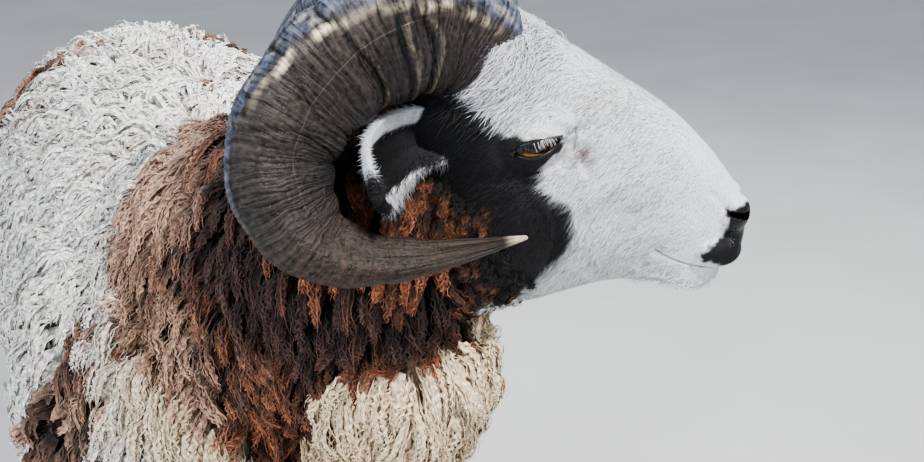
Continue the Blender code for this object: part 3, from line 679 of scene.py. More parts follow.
def make_skin():
    """Body, head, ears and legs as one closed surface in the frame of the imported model."""
    head = boolean(head_form(), "UNION", [lid_form(side) for side, _ in SIDES])
    inside = head.copy()
    inside.data = head.data.copy()
    link(inside)
    sink = inside.modifiers.new("sink", "DISPLACE")
    sink.strength = -LIP_DEPTH
    sink.mid_level = 0.0
    apply_modifiers(inside)
    cutters = [boolean(mouth_form(), "DIFFERENCE", [inside])]
    for side, _ in SIDES:
        cutters += [*eye_cutters(side), nostril_form(side)]
    for cutter in cutters:
        boolean(head, "DIFFERENCE", [cutter])
    head.data.transform(HEAD_MATRIX)
    throat = ellipsoid("throat", from_head(THROAT[0]), [r - WOOL_RISE for r in THROAT[1]])
    body = blended("body", [*trunk(), neck(), tail(), throat], BODY_VOXEL, 5)
    ears = [ear_form(side) for side, _ in SIDES]
    legs = [leg(rows, side) for rows in (FORELEG, HINDLEG) for side, _ in SIDES]
    return boolean(body, "UNION", [head, *ears, *legs])


# Markings, the same for skin and coat

# Outlines on the face, seen from the side in the head's frame
CHEEK_PATCH = ((-0.150, 0.070), (-0.066, 0.060), (-0.044, 0.036), (-0.028, 0.021), (-0.017, 0.008),
               (-0.002, 0.008), (0.014, 0.006), (0.024, 0.0015), (0.012, -0.0075), (0.009, -0.013),
               (0.005, -0.027), (0.016, -0.042), (0.027, -0.049), (0.034, -0.067), (0.024, -0.086),
               (0.010, -0.097), (0.000, -0.105), (-0.021, -0.113), (-0.043, -0.116), (-0.150, -0.170))
MUZZLE_PATCH = ((0.180, -0.047), (0.154, -0.050), (0.141, -0.056), (0.141, -0.066), (0.138, -0.076),
                (0.131, -0.084), (0.123, -0.090), (0.126, -0.098), (0.180, -0.096))
EYE_CORNER_LINE = ((0.019, 0.0045), (0.031, 0.0090), (0.0305, -0.0050))
# Outlines on the body, seen from the side in the body's frame, on its right and on its left
SHOULDER_PATCH = ((0.298, 0.618), (0.290, 0.565), (0.264, 0.505), (0.252, 0.440), (0.262, 0.380),
                  (0.345, 0.380), (0.368, 0.470), (0.360, 0.520), (0.342, 0.552), (0.352, 0.594),
                  (0.326, 0.590), (0.314, 0.622))
RUMP_PATCH = ((-0.260, 0.700), (-0.330, 0.640), (-0.360, 0.560), (-0.320, 0.500), (-0.240, 0.520),
              (-0.190, 0.600), (-0.200, 0.670))
FLANK_PATCH = ((0.110, 0.668), (0.042, 0.712), (-0.030, 0.676), (-0.104, 0.646), (-0.056, 0.588),
               (-0.088, 0.516), (-0.012, 0.462), (0.050, 0.496), (0.098, 0.448), (0.146, 0.522),
               (0.112, 0.598))
COLLAR_NORMAL = np.array((0.750, 0.060, 0.660))
BROWN_NORMAL = np.array((0.900, 0.060, 0.430))
BROWN_AT = 0.556
# The brown collar, and the band under the horn that is near-black wool with painted shadow of the horn,
# seen from the side in the head's frame
COLLAR = ((-0.244, 0.150), (-0.238, -0.010), (-0.256, -0.047), (-0.281, -0.072), (-0.298, -0.095),
          (-0.304, -0.138), (-0.298, -0.170), (-0.270, -0.182), (-0.250, -0.198), (-0.231, -0.214),
          (-0.216, -0.245), (-0.205, -0.295), (-0.185, -0.320), (-0.170, -0.285), (-0.158, -0.232),
          (-0.141, -0.184), (-0.123, -0.160), (-0.101, -0.150), (-0.072, -0.142), (-0.046, -0.130),
          (-0.036, -0.112), (-0.010, -0.085), (0.100, -0.010), (0.100, 0.150))
DARK_WOOL_AND_HORN_SHADOW = ((-0.232, -0.052), (-0.222, -0.100), (-0.196, -0.130), (-0.160, -0.146), (-0.135, -0.142),
             (-0.112, -0.116), (-0.055, -0.116), (-0.055, -0.085), (-0.120, -0.080), (-0.200, -0.030))
FADES_FROM = 0.192  # how far behind the eyes the sun has begun to bleach the brown
MUZZLE_SAG = 0.50  # how much lower the black starts on the middle of the nose
CURL_EDGE = ((-0.125, -0.005), (-0.1086, -0.001), (-0.0715, -0.0115), (-0.040, -0.034),
             (-0.022, -0.066), (-0.010, -0.110), (0.020, -0.120))


def warped(points, amount, size, seed):
    """Points pushed about by noise, which makes an even outline ragged."""
    push = [noise(points, size, seed + k) - 0.5 for k in range(3)]
    return points + amount * np.stack(push, axis=1)


def mixed(base, other, weight):
    return base + (np.asarray(other) - base) * weight[:, None]


def brown_wool(points):
    """Russet wool, sun-bleached in places, near black in others, and darkened close to the head: dark
    wool with painted shadow under the horn.
    """
    head = in_head(points)
    broad, fine = noise(points, 0.055, 3), noise(points, 0.018, 4)
    behind = BROWN_AT - in_body(points) @ BROWN_NORMAL
    faded = 8.0 * np.maximum(-head[:, 0] - FADES_FROM, 0) + 3.0 * np.maximum(behind, 0)
    high = smooth_step(head[:, 2], -0.095, -0.050) * smooth_step(-head[:, 0], 0.185, 0.225)
    sun = np.minimum(faded, 0.42) + 0.24 * high
    bleached = smooth_step(0.50 * noise(points, 0.040, 5) + 0.25 * fine + sun, 0.50, 0.98)
    colour = np.tile(RUSSET, (len(points), 1)) * (0.80 + 0.45 * noise(points, 0.030, 2))[:, None]
    colour = mixed(colour, GINGER, bleached * 0.92)
    loose = warped(head, 0.030, 0.030, 81)
    # Under the horn the wool is near black, partly its own colour and partly painted shadow of the horn
    dark_wool_and_shadow = inside_outline(loose, DARK_WOOL_AND_HORN_SHADOW, 0.016)
    dark = np.clip(smooth_step(broad + 0.5 * fine, 0.84, 1.08) + 0.88 * dark_wool_and_shadow, 0, 1) * (1 - 0.7 * bleached)
    return mixed(colour, BLACK * 2.0, dark * 0.92)


def curly_cheek(points):
    """1 on the back of the cheek, where the hair gives way to short curls."""
    head = warped(in_head(points), 0.012, 0.014, 55)
    heights, edges = zip(*CURL_EDGE)
    edge = np.interp(head[:, 2], heights, edges)
    return smooth_step(edge - head[:, 0], 0.0, 0.006) * (np.linalg.norm(head, axis=1) < HEAD_REACH)


def coat(points):
    """The coat's colour at places on the ram."""
    head, body = in_head(points), in_body(points)
    ragged = warped(head, 0.007, 0.012, 11)
    ragged = warped(ragged, 0.004, 0.004, 21)
    loose = warped(body, 0.030, 0.030, 31)
    loose = warped(loose, 0.014, 0.010, 41)
    loose_head = warped(head, 0.024, 0.024, 51)

    # White wool, lighter and darker at random, with faint tan streaks
    colour = np.tile(WHITE_WOOL, (len(points), 1))
    colour = colour * (0.90 + 0.16 * noise(points, 0.040, 1))[:, None]
    streak = smooth_step(noise(loose * (1.0, 1.0, 0.35), 0.060, 61), 0.66, 0.86)
    colour = mixed(colour, TAN, 0.30 * streak)
    brown = brown_wool(points)
    cream = smooth_step(body @ COLLAR_NORMAL, 0.60, 0.66) * smooth_step(body[:, 0], 0.30, 0.38)
    colour = mixed(colour, CREAM_WOOL, cream)
    collar = smooth_step(loose @ BROWN_NORMAL - BROWN_AT, -0.003, 0.003)
    collar = collar * inside_outline(loose_head, COLLAR, 0.003)
    colour = mixed(colour, brown, collar)
    right, left = body[:, 1] < 0, body[:, 1] > 0
    outer = np.abs(body[:, 1]) > 0.03
    for outline, where in ((SHOULDER_PATCH, right), (RUMP_PATCH, right), (FLANK_PATCH, left),
                           (RUMP_PATCH, left)):
        patch = inside_outline(loose, outline, 0.003) * where * outer
        colour = mixed(colour, brown, patch)

    # Legs: white with dark knees, hocks and pasterns
    low = smooth_step(-body[:, 2], -0.330, -0.300)
    colour = mixed(colour, WHITE_HAIR * 0.92, low)
    spots = smooth_step(noise(loose, 0.050, 71), 0.60, 0.66)
    joints = np.maximum(blob(loose, (0.262, 0.235), (0.060, 0.036)),
                        blob(loose, (-0.372, 0.270), (0.060, 0.034)))
    dark_leg = np.clip(spots + joints * (noise(loose, 0.030, 72) > 0.35), 0, 1) * low
    colour = mixed(colour, BLACK * 2.0, dark_leg)

    # Face
    on_face = smooth_step(head_zone(points), -0.010, 0.004) * (np.linalg.norm(head, axis=1) < HEAD_REACH)
    face = np.tile(WHITE_HAIR, (len(points), 1)) * (0.92 + 0.12 * noise(points, 0.020, 6))[:, None]
    speckle = smooth_step(noise(points, 0.0022, 8), 0.30, 0.75)
    smudge = blob(head, (0.0350, -0.0100), (0.0100, 0.0080), 0.7)
    face = mixed(face, SPECKLE_BROWN, 0.9 * smudge * np.clip(speckle + 0.35, 0, 1))
    bridge = blob(head, (0.052, 0.024), (0.034, 0.014), 0.8)
    face = mixed(face, SPECKLE_BROWN * 1.6, 0.36 * bridge * speckle)
    corner_line = 1 - smooth_step(distance_to_line(head, EYE_CORNER_LINE), 0.0005, 0.0016)
    face = mixed(face, BLACK * 3, 0.80 * corner_line * (np.abs(head[:, 1]) > 0.03))
    sideways = smooth_step(np.abs(head[:, 1]), 0.020, 0.030)
    cheek = inside_outline(ragged, CHEEK_PATCH, 0.0014) * sideways
    back_of_head = smooth_step(-loose_head[:, 0], 0.074, 0.082)
    face = mixed(face, BLACK, np.maximum(cheek, back_of_head))
    ragged[:, 2] += MUZZLE_SAG * np.maximum(0.0, 0.026 - np.abs(head[:, 1]))
    face = mixed(face, BLACK * 0.8, inside_outline(ragged, MUZZLE_PATCH, 0.0010))
    curls = curly_cheek(points)
    streaked = smooth_step(noise(points * (1, 1, 0.5), 0.006, 7), 0.46, 0.64)
    face = mixed(face, mixed(np.tile(BLACK * 1.5, (len(points), 1)), CURL_BROWN, streaked),
                 curls * (head[:, 2] > -0.112))
    return mixed(colour, face, on_face)


def muzzle_bareness(points):
    """1 on the bare wet skin between and round the nostrils and on the lips."""
    head = in_head(points)
    pad = blob(head, (0.166, -0.072), (0.022, 0.022), 0.15)
    lips = 1 - smooth_step(distance_to_line(head, MOUTH), 0.0010, 0.0030)
    return np.clip(pad + lips * (head[:, 0] > 0.085), 0, 1)


ear_points, ear_places = [], []
for ear_side, _ in SIDES:
    for i, row in enumerate(ear_grid(ear_side)):
        for k, point in enumerate(row):
            ear_points.append(from_head(point))
            ear_places.append((i / (EAR_STEPS - 1), 2 * k / (EAR_RIBS - 1) - 1))
ear_tree = place_tree(ear_points)
ear_places = np.array(ear_places)


def near_ear(points):
    """How far each place is from the middle of an ear's shell, and its place along and across."""
    found = [ear_tree.find(point) for point in points]
    away = np.array([f[2] for f in found])
    index = np.array([f[1] for f in found])
    offset = np.asarray(points) - np.array([f[0] for f in found])
    return away, ear_places[index], offset


def open_side(offset):
    """1 where an offset from an ear's shell points out of its hollow."""
    head = offset @ TURN
    return head[:, 0] * 0.756 + head[:, 2] * 0.507 > 0


def ear_coat(points, base):
    """The ears' own markings: black hollow, white rim and tip."""
    away, place, offset = near_ear(points)
    on_ear = (away < EAR_NEAR) & (place[:, 0] > 0.10)
    t = place[:, 0] + 0.08 * (noise(points, 0.010, 81) - 0.5)
    v = place[:, 1] + 0.12 * (noise(points, 0.008, 82) - 0.5)
    hollow = open_side(offset)
    upper = smooth_step(v, 0.50, 0.62) * (1 - smooth_step(t, 0.86, 0.92))
    lower = smooth_step(-v, 1.02 - 0.45 * t, 1.08 - 0.45 * t) * smooth_step(t, 0.25, 0.33)
    lower = lower * (1 - smooth_step(t, 0.76, 0.82))
    behind = smooth_step(np.abs(v), 0.35, 0.50) * (1 - smooth_step(t, 0.80, 0.90))
    white = np.where(hollow, np.maximum(upper, lower), behind)
    dark = mixed(np.tile(BLACK * 1.3, (len(points), 1)), WHITE_HAIR, white)
    return np.where(on_ear[:, None], dark, base), on_ear


def full_coat(points):
    return ear_coat(points, coat(points))[0]


# An unwrap of the skin's own shape: each part has a strip of the map to itself


def cylinder_place(points, origin, axis, towards, length, corner, size):
    """Places on a strip, from the angle round an axis and the distance along it."""
    origin, axis, towards = (np.array(tuple(v), float) for v in (origin, axis, towards))
    axis = axis / np.linalg.norm(axis)
    towards = towards - axis * (towards @ axis)
    towards = towards / np.linalg.norm(towards)
    offset = points - origin
    along = offset @ axis / length
    angle = np.arctan2(offset @ np.cross(axis, towards), offset @ towards) / (2 * math.pi) + 0.5
    return np.stack((corner[0] + np.clip(angle, 0, 1) * size[0],
                     corner[1] + np.clip(along, 0, 1) * size[1]), axis=1)


def unwrap(points):
    points = np.asarray(points, float)
    head, body = in_head(points), in_body(points)
    place = cylinder_place(points, BODY + Vector((-0.52, 0, 0.55)), (1, 0, 0), (0, 0, -1), 0.95,
                           (0.01, 0.01), (0.58, 0.47))
    on_neck = body @ COLLAR_NORMAL > 0.60
    neck_place = cylinder_place(points, BODY + NECK_START, (0.55, 0.20, 0.62), (0, -1, 0), 0.42,
                                (0.01, 0.50), (0.58, 0.24))
    place = np.where(on_neck[:, None], neck_place, place)
    on_head = (head_zone(points) > -0.01) & (np.linalg.norm(head, axis=1) < HEAD_REACH)
    head_place = cylinder_place(points, from_head((-0.13, 0, -0.03)), TO_HEAD @ Vector((1, 0, -0.25)),
                                (0, 0, -1), 0.32, (0.01, 0.76), (0.58, 0.23))
    place = np.where(on_head[:, None], head_place, place)
    column = 0
    for rows, cut in ((FORELEG, 0.335), (HINDLEG, 0.395)):
        for side, _ in SIDES:
            on_leg = ((body[:, 2] < cut) & (body[:, 1] * side > 0.02)
                      & (np.abs(body[:, 0] - rows[3][0]) < 0.12))
            strip = cylinder_place(points, BODY + Vector((rows[5][0], rows[5][1] * side, 0)), (0, 0, 1),
                                   (1, 0, 0), 0.42, (0.61 + 0.095 * column, 0.30), (0.085, 0.69))
            place = np.where(on_leg[:, None], strip, place)
            column += 1
    away, ear_place, offset = near_ear(points)
    on_ear = (away < EAR_NEAR) & (ear_place[:, 0] > 0.10)
    ear_side = (head[:, 1] > 0) * 0.19 + open_side(offset) * 0.095
    flat = np.stack((0.61 + ear_side + 0.085 * (ear_place[:, 1] * 0.5 + 0.5),
                     0.02 + 0.26 * ear_place[:, 0]), axis=1)
    return np.where(on_ear[:, None], flat, place)


# Wool and fur


PATCH = 0.003  # side of a tuft's patch on the map


def strand_template(rings, sides):
    """Triangles of one pointed strand, and each corner's place round and along it.

    Two sides make a ribbon, and more make a tube whose open foot is inside the skin."""
    faces, corners = [], []
    body = rings - 1

    def corner(ring, side):
        return ring * sides + side % sides, (side / sides, ring / (rings - 1))

    def add(*items):
        faces.append([item[0] for item in items])
        corners.append([item[1] for item in items])

    walls = 1 if sides == 2 else sides
    for ring in range(body - 1):
        for side in range(walls):
            a, b = corner(ring, side), corner(ring, side + 1)
            c, d = corner(ring + 1, side + 1), corner(ring + 1, side)
            add(a, c, b)
            add(a, d, c)
    for side in range(walls):
        a, b = corner(body - 1, side), corner(body - 1, side + 1)
        add(a, (body * sides, ((side + 0.5) / sides, 1.0)), b)
    return np.array(faces), np.array(corners)


def unit(vectors):
    return vectors / np.maximum(np.linalg.norm(vectors, axis=-1, keepdims=True), 1e-9)


def strands(paths, widths, outs, colours, flat=1.0, sides=3):
    """Pointed strands along paths (n, rings, 3), as parts for one mesh."""
    count, rings = paths.shape[:2]
    along = unit(np.gradient(paths, axis=1))
    side = unit(np.cross(along, outs))
    above = np.cross(side, along) * flat
    angles = 2 * math.pi * np.arange(sides) / sides + (0.0 if sides == 2 else math.pi / 2)
    body = rings - 1
    ring_points = (paths[:, :body, None]
                   + widths[:, :body, None, None] * (side[:, :body, None] * np.cos(angles)[:, None]
                                                     + above[:, :body, None] * np.sin(angles)[:, None]))
    points = np.concatenate((ring_points.reshape(count, body * sides, 3), paths[:, -1:]), axis=1)
    shades = np.concatenate((np.repeat(colours[:, :body], sides, axis=1), colours[:, -1:]), axis=1)
    faces, corners = strand_template(rings, sides)
    per = points.shape[1]
    faces = faces[None] + (np.arange(count) * per)[:, None, None]
    length = np.linalg.norm(np.diff(paths, axis=1), axis=2).sum(1)
    return points.reshape(-1, 3), faces.reshape(-1, 3), corners, shades.reshape(-1, 3), length


WOOL_SOFTNESS = 0.62  # share of the coat's own facing in the wool's normals


def soft_normals(points, paths, outs, coat_outs, sides):
    """Normals between each strand's own and the coat's, so that wool shades as one soft mass."""
    count, body = len(paths), paths.shape[1] - 1
    points = points.reshape(count, body * sides + 1, 3)
    middle = np.repeat(paths[:, :body], sides, axis=1)
    own = np.repeat(outs[:, :body], sides, axis=1) if sides == 2 else unit(points[:, :-1] - middle)
    mass = np.repeat(coat_outs[:, :body], sides, axis=1)
    blend = own * (1 - WOOL_SOFTNESS) + mass * WOOL_SOFTNESS
    tip = outs[:, -1:] * (1 - WOOL_SOFTNESS) + coat_outs[:, -1:] * WOOL_SOFTNESS
    return unit(np.concatenate((blend, tip), axis=1)).reshape(-1, 3)


def coat_piece(name, slot, material, roots, flat, sides, paths, widths, outs, colours, coat_outs=None):
    """One mesh of strands with its colours and its two maps."""
    points, faces, corners, shades, length = strands(paths, widths, outs, colours, flat, sides)
    mesh = triangle_mesh(name, points, faces)
    set_colours(mesh, "Coat", shades)
    if coat_outs is not None:
        mesh.normals_split_custom_set_from_vertices(soft_normals(points, paths, outs, coat_outs, sides))
    count = len(paths)
    flat_corners = corners.reshape(-1, 2)
    bake = unwrap(roots)[:, None, :] + PATCH * flat_corners[None]
    mesh.uv_layers.new(name="OFBake").data.foreach_set("uv", bake.ravel())
    fibre = np.tile(flat_corners, (count, 1, 1))
    fibre[:, :, 1] *= length[:, None]
    fibre += (np.arange(count)[:, None, None] % 997) * np.array((1.0, 0.113))
    mesh.uv_layers.new(name="Fibre").data.foreach_set("uv", fibre.ravel())
    return dressed(link(bpy.data.objects.new(name, mesh)), name, slot, material)


COAT_LIMIT = 190000  # triangles in one piece of the coat


def coat_pieces(name, slot, material, roots, flat=1.0, sides=3, **strand_rows):
    """The strands shared out among as many pieces as the limit asks."""
    per = len(strand_template(strand_rows["paths"].shape[1], sides)[0])
    number = max(1, math.ceil(per * len(roots) / COAT_LIMIT))
    order = np.argsort(roots[:, 0])
    for i, share in enumerate(np.array_split(order, number)):
        rows = {key: values[share] for key, values in strand_rows.items()}
        coat_piece(f"{name}_{i + 1}", slot, material, roots[share], flat, sides, **rows)


def scatter(mesh, weight, density, rng):
    """Random places on a mesh, density of them to a square metre where weight is 1."""
    mesh.calc_loop_triangles()
    corners = np.empty(len(mesh.loop_triangles) * 3, np.int32)
    mesh.loop_triangles.foreach_get("vertices", corners)
    corners = corners.reshape(-1, 3)
    points = points_of(mesh)
    a, b, c = (points[corners[:, k]] for k in range(3))
    cross = np.cross(b - a, c - a)
    area = np.linalg.norm(cross, axis=1) / 2
    expected = area * density * weight((a + b + c) / 3)
    number = np.floor(expected + rng.random(len(expected))).astype(int)
    pick = np.repeat(np.arange(len(area)), number)
    u, v = rng.random(len(pick)), rng.random(len(pick))
    fold = u + v > 1
    u[fold], v[fold] = 1 - u[fold], 1 - v[fold]
    placed = a[pick] + (b - a)[pick] * u[:, None] + (c - a)[pick] * v[:, None]
    smooth = normals_of(mesh)
    normal = smooth[corners[pick, 0]] + smooth[corners[pick, 1]] + smooth[corners[pick, 2]]
    return placed, unit(normal)


def even_picks(points, spacing, rng):
    """Which of the points to keep so that none has a neighbour closer than spacing."""
    tree = place_tree(points)
    free = np.ones(len(points), bool)
    picks = []
    for i in rng.permutation(len(points)):
        if free[i]:
            picks.append(i)
            for _, j, _ in tree.find_range(points[i], spacing):
                free[j] = False
    return np.array(picks)


CLIMB = 0.42  # share of a lock's length over which it climbs out of the skin
SINK = 0.35  # how fast its tip sinks again
COVER_GAP = 0.003  # how far it stays from a horn or an ear above it


def guide_lines(tree, covers, roots, normals, lies, lengths, rises, rings):
    """Lines that climb out of the skin and lie along it, kept under the horns and off the ears."""
    lines = np.empty((len(roots), rings, 3))
    outs = np.empty_like(lines)
    for i in range(len(roots)):
        place, out, lie = Vector(roots[i]), Vector(normals[i]), Vector(lies[i])
        step = lengths[i] / (rings - 1)
        for k in range(rings):
            t = k / (rings - 1)
            rise = rises[i] * (math.sin(min(1.0, t / CLIMB) * math.pi / 2) - SINK * max(0.0, t - 0.5))
            reach = rises[i] + 0.02
            hit = covers.ray_cast(place + out * 0.0005, out, reach)[3]
            if hit is not None:
                rise = min(rise, hit - COVER_GAP)
            lines[i, k] = place + out * rise
            outs[i, k] = out
            ahead = lie - out * lie.dot(out)
            if ahead.length < 0.05:
                ahead = out.orthogonal()
            found = tree.find_nearest(place + ahead.normalized() * step)
            place, out = found[0], (out * 0.6 + found[1] * 0.4).normalized()
    return lines, outs


def part_of(lines, outs, first, last, rings):
    """The part of each line from first to last, as shares of its length, at new rings."""
    count, old = lines.shape[:2]
    share = first[:, None] + (last - first)[:, None] * np.linspace(0, 1, rings)[None]
    at = share * (old - 1)
    low = np.clip(at.astype(int), 0, old - 2)
    part = (at - low)[..., None]
    index = np.arange(count)[:, None]
    read = [item[index, low] * (1 - part) + item[index, low + 1] * part for item in (lines, outs)]
    return *read, share


def locks(lines, outs, per_lock, spread, crimp, wave, pace, stray, rings, fluffy, rng):
    """Strands crimped in step that fill each guide line's lock and draw together at its tip."""
    whole = per_lock == 1
    lines, outs = (np.repeat(item, per_lock, axis=0) for item in (lines, outs))
    count = len(lines)
    first = np.zeros(count) if whole else rng.uniform(0.0, 0.35, count)
    last = rng.uniform(0.85, 1.0, count) if whole else rng.uniform(0.75, 1.0, count)
    lines, outs, at = part_of(lines, outs, first, last, rings)
    along = unit(np.gradient(lines, axis=1))
    side = unit(np.cross(along, outs))
    above = np.cross(side, along)
    angle = rng.uniform(-0.20 * math.pi, 1.20 * math.pi, count)[:, None] + 0.5 * (at - 0.5)
    open_tip = np.repeat(fluffy, per_lock)[:, None]
    radius = spread * np.sqrt(rng.random(count))[:, None] * (1 + 0.55 * open_tip)
    radius = radius * (1 - (0.62 - 0.34 * open_tip) * at**1.3)
    length = np.linalg.norm(np.diff(lines, axis=1), axis=2).sum(1)
    run = length[:, None] * (first[:, None] + np.linspace(0, 1, rings)[None])
    beat = np.repeat(rng.uniform(0, 2 * math.pi, count // per_lock), per_lock)
    beat = beat + rng.normal(0, 0.30, count) * (1 + 2.5 * open_tip[:, 0])
    phase = 2 * math.pi * run * np.repeat(pace, per_lock)[:, None] / wave + beat[:, None]
    swing = crimp * rng.uniform(0.6, 1.3, count)[:, None] * smooth_step(at, 0.0, 0.25)
    away = side * np.cos(angle)[..., None] + above * (np.sin(angle) * 0.8)[..., None]
    loose = np.abs(rng.normal(0, stray, count))[:, None] * at**2
    across = side * (swing * np.sin(phase))[..., None] + above * (0.6 * swing * np.cos(phase))[..., None]
    paths = lines + away * (radius + loose)[..., None] + across
    return paths, unit(away + outs * 0.8), outs, at, np.sin(phase)


# Materials


class Look:
    """A material whose nodes are made by short calls."""

    def __init__(self, name, roughness, specular):
        self.material = bpy.data.materials.new(name)
        self.material.use_nodes = True
        self.shader = self.material.node_tree.nodes["Principled BSDF"]
        self.feed(self.shader, {"Roughness": roughness, "Specular IOR Level": specular})

    def feed(self, node, sources):
        """Links each of the inputs to a socket, or gives it a plain value."""
        for name, source in sources.items():
            if isinstance(source, bpy.types.NodeSocket):
                self.material.node_tree.links.new(source, node.inputs[name])
            else:
                node.inputs[name].default_value = source
        return node

    def node(self, kind, sources, **settings):
        made = self.material.node_tree.nodes.new("ShaderNode" + kind)
        for key, value in settings.items():
            setattr(made, key, value)
        return self.feed(made, sources)

    def attribute(self, name, output):
        return self.node("Attribute", {}, attribute_name=name).outputs[output]

    def uv(self, name):
        """A map's place, and its two numbers apart."""
        place = self.node("UVMap", {}, uv_map=name).outputs["UV"]
        parts = self.node("SeparateXYZ", {"Vector": place}).outputs
        return place, parts["X"], parts["Y"]

    def place(self):
        return self.node("TexCoord", {}).outputs["Object"]

    def joined(self, x, y):
        return self.node("CombineXYZ", {"X": x, "Y": y}).outputs["Vector"]

    def stretched(self, vector, scale, turn=0.0):
        sources = {"Vector": vector, "Scale": scale, "Rotation": (0.0, 0.0, turn)}
        return self.node("Mapping", sources).outputs["Vector"]

    def noise(self, vector, scale, detail=2.0):
        return self.node("TexNoise", {"Vector": vector, "Scale": scale, "Detail": detail}).outputs["Fac"]

    def math(self, operation, *values):
        return self.node("Math", dict(enumerate(values)), operation=operation).outputs["Value"]

    def times(self, first, second):
        return self.math("MULTIPLY", first, second)

    def plus(self, first, second):
        return self.math("ADD", first, second)

    def span(self, value, low, high, low_to, high_to):
        """A value's span from low to high stretched to the span from low_to to high_to."""
        sources = {"Value": value, "From Min": low, "From Max": high, "To Min": low_to, "To Max": high_to}
        return self.node("MapRange", sources).outputs["Result"]

    def mix(self, first, second, share):
        sources = {"A": first, "B": second, "Factor": share}
        return self.node("Mix", sources, data_type="FLOAT").outputs["Result"]

    def coat_colour(self, shade):
        """Shows the mesh's own colour, darkened or lightened by a factor."""
        sources = {"Vector": self.attribute("Coat", "Color"), "Scale": shade}
        scaled = self.node("VectorMath", sources, operation="SCALE")
        self.feed(self.shader, {"Base Color": scaled.outputs["Vector"]})

    def bump(self, height, strength, distance):
        sources = {"Height": height, "Strength": strength, "Distance": distance}
        self.feed(self.shader, {"Normal": self.node("Bump", sources).outputs["Normal"]})


def strand_material(name, roughness, sheen, fibres, crimp, depth, strength, rounding=0.0):
    """Wool or hair: the coat's colour with fine waved fibres, and ribbons rounded by their bump."""
    look = Look(name, roughness, 0.25)
    fibre, around, along = look.uv("Fibre")
    uneven = look.times(look.noise(look.stretched(fibre, (2.0, 60.0, 1.0)), 1.0), 9.0)
    wave = look.math("SINE", look.plus(look.times(along, 2 * math.pi / crimp), uneven))
    bent = look.plus(look.times(around, fibres), look.times(wave, 0.75))
    fine = look.noise(look.joined(bent, look.times(along, 90.0)), 1.0, 3.0)
    height = look.plus(fine, look.times(wave, 0.16))
    # The colour follows the bump's height: partly the fibres' own tone, partly painted shade between
    # fibres and in the crimp's troughs, and painted highlight on its crests
    look.coat_colour(look.span(height, 0.30, 0.70, 1.0 - depth, 1.0 + depth))
    if rounding:
        bulge = look.math("SINE", look.times(look.math("FRACT", around), math.pi))
        height = look.plus(height, look.times(bulge, rounding))
    look.bump(height, strength, 0.0022)
    look.feed(look.shader, {"Sheen Weight": sheen, "Sheen Roughness": 0.6})
    return look.material


def skin_material():
    look = Look("skin and short hair", 0.7, 0.3)
    bare, place = look.attribute("Bare", "Fac"), look.place()
    hair = look.noise(look.stretched(place, (160.0, 900.0, 520.0), -HEAD_TURN), 1.0, 3.0)
    pebble = look.node("TexVoronoi", {"Vector": place, "Scale": 620.0}).outputs["Distance"]
    # The hair's streaks darken and lighten the colour along with its bump: partly the hair's own tone,
    # partly painted shade and highlight
    look.coat_colour(look.span(hair, 0.25, 0.75, 0.72, 1.12))
    look.feed(look.shader, {"Roughness": look.span(bare, 0.0, 1.0, 0.72, 0.30)})
    look.bump(look.mix(hair, pebble, bare), 0.55, 0.0012)
    return look.material


# A long pale scratch: its angle as a share of a turn, and where it runs along the horn
SCRATCH_AT, SCRATCH_SLOPE, SCRATCH_FROM, SCRATCH_TO = 0.22, 0.35, 0.105, 0.285
STREAKS_FROM = 0.30  # how far along the horn its streaks turn to run lengthwise


def horn_material():
    look = Look("horn", 0.5, 0.28)
    lines, around, along = look.uv("Growth")
    warp = look.noise(look.stretched(lines, (7.0, 45.0, 1.0)), 1.0, 2.0)
    bent = look.plus(look.times(along, 420.0), look.times(warp, 5.0))
    place = look.joined(look.times(around, 7.0), bent)
    across = look.noise(place, 1.0, 4.0)
    grain = look.noise(look.stretched(lines, (60.0, 260.0, 1.0)), 1.0, 5.0)
    streaks = look.noise(look.stretched(lines, (44.0, 16.0, 1.0)), 1.0, 5.0)
    height = look.mix(look.plus(look.times(across, 0.60), look.times(grain, 0.40)),
                      look.plus(look.times(streaks, 0.70), look.times(grain, 0.30)),
                      look.span(along, STREAKS_FROM, STREAKS_FROM + 0.10, 0.0, 1.0))
    away = look.math("SUBTRACT", around, look.plus(look.times(along, SCRATCH_SLOPE), SCRATCH_AT))
    scratch = look.span(look.math("ABSOLUTE", away), 0.0, 0.0022, 1.0, 0.0)
    scratch = look.times(scratch, look.span(along, SCRATCH_FROM, SCRATCH_FROM + 0.01, 0.0, 1.0))
    scratch = look.times(scratch, look.span(along, SCRATCH_TO - 0.01, SCRATCH_TO, 1.0, 0.0))
    # The colour follows the bump's height: the horn's own streaks, with painted shade in its grooves and
    # painted highlight on its ridges; the scratch is pale wear
    look.coat_colour(look.plus(look.span(height, 0.38, 0.62, 0.22, 2.60), look.times(scratch, 3.0)))
    look.feed(look.shader, {"Roughness": look.span(across, 0.3, 0.7, 0.36, 0.56)})
    look.bump(height, 1.0, 0.0032)
    return look.material


def eye_material():
    look = Look("eye", 0.20, 0.25)
    look.coat_colour(look.span(look.noise(look.place(), 1400.0, 3.0), 0.3, 0.7, 0.75, 1.25))
    look.feed(look.shader, {"Coat Weight": 0.6, "Coat Roughness": 0.03})
    return look.material


def plain_material(name, colours, scale, roughness, bump, stretch=(1.0, 1.0, 1.0)):
    """A noise between two colours with matching roughness and bump."""
    look = Look(name, roughness, 0.4)
    grain = look.noise(look.stretched(look.place(), stretch), scale, 5.0)
    ramp = look.node("ValToRGB", {"Fac": grain})
    for stop, position, colour in zip(ramp.color_ramp.elements, (0.35, 0.68), colours):
        stop.position = position
        stop.color = (*colour, 1.0)
    look.feed(look.shader, {"Base Color": ramp.outputs["Color"],
                            "Roughness": look.span(grain, 0.3, 0.7, roughness * 0.8, roughness * 1.15)})
    look.bump(grain, bump, 0.0008)
    return look.material


# Horns, eyes, lids and claws

